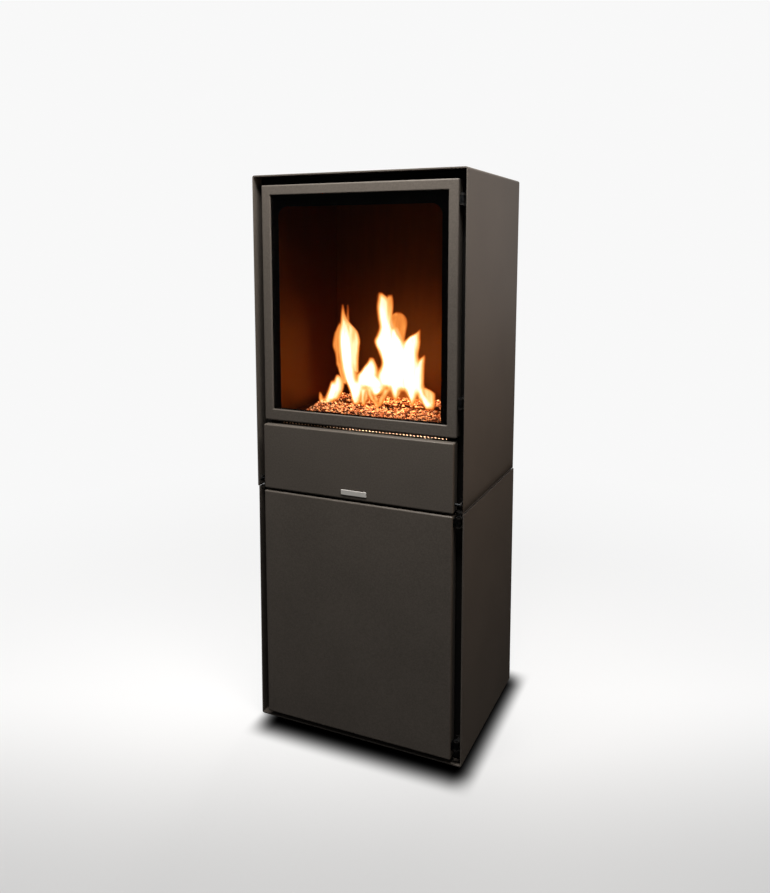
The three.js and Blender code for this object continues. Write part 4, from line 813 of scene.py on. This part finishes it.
# heat of each level, and the millimetres inside the rim that it takes to reach it
TONGUES = {
    "far_left": (HOT_FIRE, [(714, -184, -168), (722, -189, -172), (732, -193, -182),
                            (746, -194, -191)]),
    "left_low": (HOT_FIRE, [(716, -176, -164), (732, -178, -150), (750, -172, -142),
                            (768, -166, -138), (775, -163, -146)]),
    "left_mid": (HOT_FIRE, [(728, -160, -144), (750, -158, -134), (770, -156, -130),
                            (783, -153, -134), (791, -149, -144)]),
    "tall_left": (HOT_FIRE, [(720, -96, -88), (736, -107, -84), (762, -117, -83),
                             (788, -129, -90), (830, -138, -92), (862, -139, -94),
                             (893, -139, -100), (920, -136, -110), (940, -135, -123),
                             (963, -133, -130)]),
    "tall_left_side": (WARM_FIRE, [(800, -120, -86), (830, -118, -85), (862, -114, -82),
                                   (880, -112, -80), (902, -118, -88), (921, -124, -110),
                                   (938, -130, -124)]),
    "left_wing": (COOL_FIRE, [(815, -147, -125), (843, -150, -125), (864, -156, -125),
                              (894, -151, -125), (910, -144, -128), (919, -139, -133)]),
    "left_second": (COOL_FIRE, [(905, -124, -110), (932, -121, -112), (950, -119, -114),
                                (962, -118, -115)]),
    "left_stem": (COOL_FIRE, [(770, -134, -120), (800, -142, -120), (821, -147, -125)]),
    "foot_left": (HOT_FIRE, [(722, -94, -86), (740, -102, -79), (765, -106, -72),
                             (785, -106, -66)]),
    "foot_thin": (HOT_FIRE, [(722, -78, -66), (745, -78, -63), (768, -84, -58)]),
    "middle": (HOT_FIRE, [(764, -90, -20), (780, -92, -22), (796, -90, -36), (806, -80, -37),
                          (818, -70, -38), (830, -60, -43), (839, -55, -50)]),
    "middle_tip": (HOT_FIRE, [(800, -56, -38), (820, -54, -40), (837, -48, -45)]),
    "leg_left": (HOT_FIRE, [(720, -40, -31), (735, -48, -37), (750, -57, -45),
                            (768, -68, -52)]),
    "leg_right": (HOT_FIRE, [(720, -38, -30), (738, -32, -21), (752, -26, -14),
                             (768, -22, -4)]),
    "leg_core": (HOT_FIRE, [(748, -42, -36), (760, -52, -24), (775, -60, -14)]),
    "foot_middle": (HOT_FIRE, [(742, 3, 12), (757, -2, 18), (772, -6, 23), (790, -10, 26)]),
    "tallest": (HOT_FIRE, [(768, -28, 28), (782, -34, 32), (798, -36, 32), (828, -26, 30),
                           (855, -33, 22), (879, -42, 14), (895, -37, 8), (912, -32, 6),
                           (935, -36, -2), (960, -39, -3), (980, -37, -9), (994, -35, -27)]),
    "tallest_right": (WARM_FIRE, [(900, -20, 5), (936, -20, 0), (962, -18, 1),
                                  (980, -16, 0), (989, -12, -2)]),
    "shoulder": (HOT_FIRE, [(764, 0, 72), (780, -4, 60), (800, -8, 60), (850, -8, 48),
                            (880, -6, 34), (900, -6, 22), (916, -2, 12)]),
    "shoulder_curl": (COOL_FIRE, [(868, -10, 33), (890, -12, 34), (903, -12, 36), (921, -12, 39),
                                  (934, -8, 37), (943, -2, 31), (949, 8, 20)]),
    "foot_right": (HOT_FIRE, [(731, 49, 54), (745, 44, 60), (757, 38, 65), (775, 30, 72),
                              (812, 24, 76)]),
    "right_peak": (HOT_FIRE, [(765, 40, 66), (785, 20, 78), (815, 16, 78), (849, 20, 69),
                              (880, 31, 74), (895, 46, 74), (904, 63, 74), (912, 72, 74)]),
    "right_low": (HOT_FIRE, [(765, 60, 80), (792, 58, 81), (815, 58, 83), (836, 66, 85),
                             (846, 76, 86), (853, 84, 86)]),
    "foot_far_right": (HOT_FIRE, [(726, 86, 104), (738, 78, 107), (752, 71, 98),
                                  (765, 66, 88), (780, 62, 82)]),
    "far_right": (WARM_FIRE, [(735, 92, 107), (750, 88, 108), (765, 80, 107), (772, 78, 98),
                              (778, 78, 84)]),
    "glow_left": (FAINT_FIRE, [(724, -84, -24), (745, -88, -12), (770, -90, -6)]),
    "glow_middle": (FAINT_FIRE, [(738, -14, 4), (755, -18, 6), (790, -20, 6)]),
    "glow_right": (FAINT_FIRE, [(740, 8, 44), (757, 6, 46), (778, 4, 46)]),
    "glow_far_right": (FAINT_FIRE, [(735, 58, 80), (750, 58, 84), (766, 56, 84)]),
}  # name: level, and rows of height, left edge, right edge in mm, from the foot up to the tip
print(len(TONGUES), "tongues")

# %% The fire as one field
CELL = 2.0  # mm of the grid
MELT = 2.5  # mm over which neighbouring tongues melt together
SOFTEN = 2  # times the field is averaged with its neighbours
FARTHEST = -40  # mm inside, a tongue farther away than this has no say
field_x = np.arange(-206.0, 124.0, CELL)
field_z = np.arange(704.0, 1004.0, CELL)


def edges_at(rows, heights):
    """Left and right edges at the given heights: Catmull-Rom curves through the rows."""
    rows = np.array(rows, float)
    knots = np.vstack([2 * rows[0] - rows[1], rows, 2 * rows[-1] - rows[-2]])
    span = np.clip(np.searchsorted(rows[:, 0], heights, "right") - 1, 0, len(rows) - 2)
    t = ((heights - rows[span, 0]) / (rows[span + 1, 0] - rows[span, 0]))[:, None]
    p0, p1, p2, p3 = (knots[span + k, 1:] for k in range(4))
    return 0.5 * (2 * p1 + (p2 - p0) * t + (2 * p0 - 5 * p1 + 4 * p2 - p3) * t ** 2
                  + (3 * p1 - p0 - 3 * p2 + p3) * t ** 3)


def inside_tongue(rows):
    """Millimetres inside one outline, negative outside: min(x - left, right - x, ends)."""
    low, high = rows[0][0], rows[-1][0]
    left, right = edges_at(rows, np.clip(field_z, low, high)).T[:, :, None]
    past_ends = np.maximum(low - field_z, field_z - high)[:, None]
    return np.minimum(np.minimum(field_x - left, right - field_x), -past_ends)


def melted(depths):
    """A smooth maximum: melt * log(sum(exp(depth / melt))), and softened by its neighbours."""
    total = MELT * np.log(np.exp(np.maximum(np.array(depths), FARTHEST) / MELT).sum(0))
    for _ in range(SOFTEN):
        padded = np.pad(total, 1, mode="edge")
        total = (padded[:-2, 1:-1] + padded[2:, 1:-1] + padded[1:-1, :-2] + padded[1:-1, 2:]
                 + 4 * total) / 8
    return total


depth = {level: melted([inside_tongue(rows) for own, rows in TONGUES.values() if own == level])
         for level in (HOT_FIRE, WARM_FIRE, COOL_FIRE, FAINT_FIRE)}
for (heat, rise), field in depth.items():
    print("heat", heat, "field", field.shape, "deepest", field.max().round(1), "mm")

# %% Heat of the fire
HALO = 3.2  # mm outside the outline where the glow starts
TIP_LOSS = 0.35  # share of the heat that the tips lose
TIP_FROM, TIP_OVER = 870, 120  # mm, the height where the loss starts, and its reach
FOOT_HEAT, FOOT_GAIN = 0.8, 0.2  # share of the heat at the foot, and what it gains upwards
FOOT_FROM, FOOT_OVER = 712, 42  # mm, the height where the gain starts, and its reach
height = field_z[:, None]
tips = 1 - TIP_LOSS * np.clip((height - TIP_FROM) / TIP_OVER, 0, 1)
feet = FOOT_HEAT + FOOT_GAIN * np.clip((height - FOOT_FROM) / FOOT_OVER, 0, 1)
heat = np.max([level * np.clip((field + HALO) / rise, 0, 1)
               for (level, rise), field in depth.items()], axis=0) * tips * feet
print("hottest", heat.max().round(2))

# %% The fire's surface
FLAME_Y = 9.5  # mm, the middle of the burner's slot
THINNEST = 0.3  # mm, half the thickness of the fire at its rim
HALF_DEPTH, FULL_AT = 10.0, 18.0  # mm, the fire fills the slot where its outline is this far off
LAP, LAP_BELOW, LAP_OVER = 30.0, 755.0, 30  # mm, the feet lap over the front edge of the slot
LAP_WAY = np.array((0.44, -1.0, 0.22))
COLDEST = 0.004  # heat below which there is no surface
deep = np.clip(np.max(list(depth.values()), axis=0) / FULL_AT, 0, 1)
bulge = THINNEST + HALF_DEPTH * deep
xs, zs = np.meshgrid(field_x, field_z)
sway = FLAME_Y + 4.0 * np.sin(xs / 23 + 1.3) + 3.0 * np.sin(zs / 37)  # mm, two slow waves
lap = LAP * np.clip((LAP_BELOW - zs) / LAP_OVER, 0, 1)[..., None] ** 2 * LAP_WAY
sheets = np.stack([np.stack([xs, sway + side * bulge, zs], -1) + lap for side in (-1, 1)])
index = np.arange(heat.size).reshape(heat.shape)
quads = np.stack([index[:-1, :-1], index[:-1, 1:], index[1:, 1:], index[1:, :-1]], -1)
glowing = quads[heat.ravel()[quads].max(-1) > COLDEST]
both = np.vstack([glowing, glowing[:, ::-1] + heat.size])
used, renumbered = np.unique(both, return_inverse=True)
print(len(both), "faces")

# %% The glow
LICK_SIZE, LICK_STRETCH = 18.0, (1, 1, 0.22)  # mm, hotter and cooler patches drawn upwards
FLAME_TONES = [(0.0, "#8a2a08"), (0.12, "#d85c1a"), (0.28, "#ff9a45"), (0.42, "#ffc273"),
               (0.56, "#ffe4ac"), (0.74, "#fff8e2"), (1.0, "#ffffff")]

flame_glow, tree, shader = new_material("flame", Specular_IOR_Level=0.0, Roughness=1.0)
shader.inputs["Base Color"].default_value = (0, 0, 0, 1)
own_heat = add(tree, "ShaderNodeAttribute", attribute_name="fire_heat").outputs["Fac"]
uneven = add(tree, "ShaderNodeMapRange", {
    "Value": noise(tree, LICK_SIZE, 2.0, LICK_STRETCH), "From Min": 0.3, "From Max": 0.7,
    "To Min": 0.68, "To Max": 1.06})
warmth = add(tree, "ShaderNodeMath", {0: own_heat, 1: uneven.outputs[0]},
             operation="MULTIPLY").outputs[0]
cover = add(tree, "ShaderNodeMapRange", {
    "Value": warmth, "From Min": 0.0, "From Max": 0.4, "To Min": 0.0, "To Max": 0.97},
    interpolation_type="SMOOTHSTEP")
power = add(tree, "ShaderNodeMapRange", {
    "Value": warmth, "From Min": 0.2, "From Max": 0.9, "To Min": 1.2, "To Max": 2.0})
wire(tree, shader, Emission_Color=tone_ramp(tree, warmth, FLAME_TONES),
     Emission_Strength=power.outputs[0], Alpha=cover.outputs[0])

flames = put_mesh("flames", sheets.reshape(-1, 3)[used] * MM, [renumbered.reshape(both.shape)],
                  flame_glow)
warm = flames.data.attributes.new("fire_heat", "FLOAT", "POINT")
warm.data.foreach_set("value", np.tile(heat.ravel(), 2)[used].astype(np.float32))
flames.visible_shadow = flames.visible_diffuse = False
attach(flames, "casing")
print("flames lit")

# %% Firelight
FIRE_TINT, EMBER_TINT = "#ffae6e", "#ffc8a0"
FIRE_SIZE = 0.035  # metres, radius of each light in the flames
# x, y, z in metres and watts; the last one is light that the pane throws back
FIRE_LAMPS = [(-0.11, 0.01, 0.86, 1.7), (-0.02, 0.01, 0.84, 2.9), (0.05, 0.01, 0.84, 3.3),
              (0.08, -0.11, 0.79, 0.5)]
# x in metres and watts of the glow behind the air rail
EMBERS = [(-0.15, 0.12), (-0.09, 0.3), (-0.02, 0.16), (0.04, 0.36), (0.1, 0.2), (0.16, 0.1)]
EMBER_SIZE = (0.05, 0.02)  # metres
for number, (x, y, z, watts) in enumerate(FIRE_LAMPS):
    lamp = bpy.data.lights.new(f"fire_{number}", "POINT")
    lamp.energy, lamp.shadow_soft_size = watts, FIRE_SIZE
    lamp.color = linear(FIRE_TINT)[:3]
    holder = bpy.data.objects.new(lamp.name, lamp)
    holder.location = (x, y, z)
    holder.visible_camera = holder.visible_transmission = holder.visible_glossy = False
    bpy.context.scene.collection.objects.link(holder)
for x, watts in EMBERS:
    soft_box("ember_strip", (x, -0.12, 0.62), (x, -0.04, 0.67), EMBER_SIZE, watts, EMBER_TINT)
print(len(bpy.data.lights), "lamps in all")

# %% [markdown]
# ## Finish
#
# The view transform is Standard, so a colour shows as it is written.

# %% Finish
bpy.context.scene.view_settings.view_transform = "Standard"
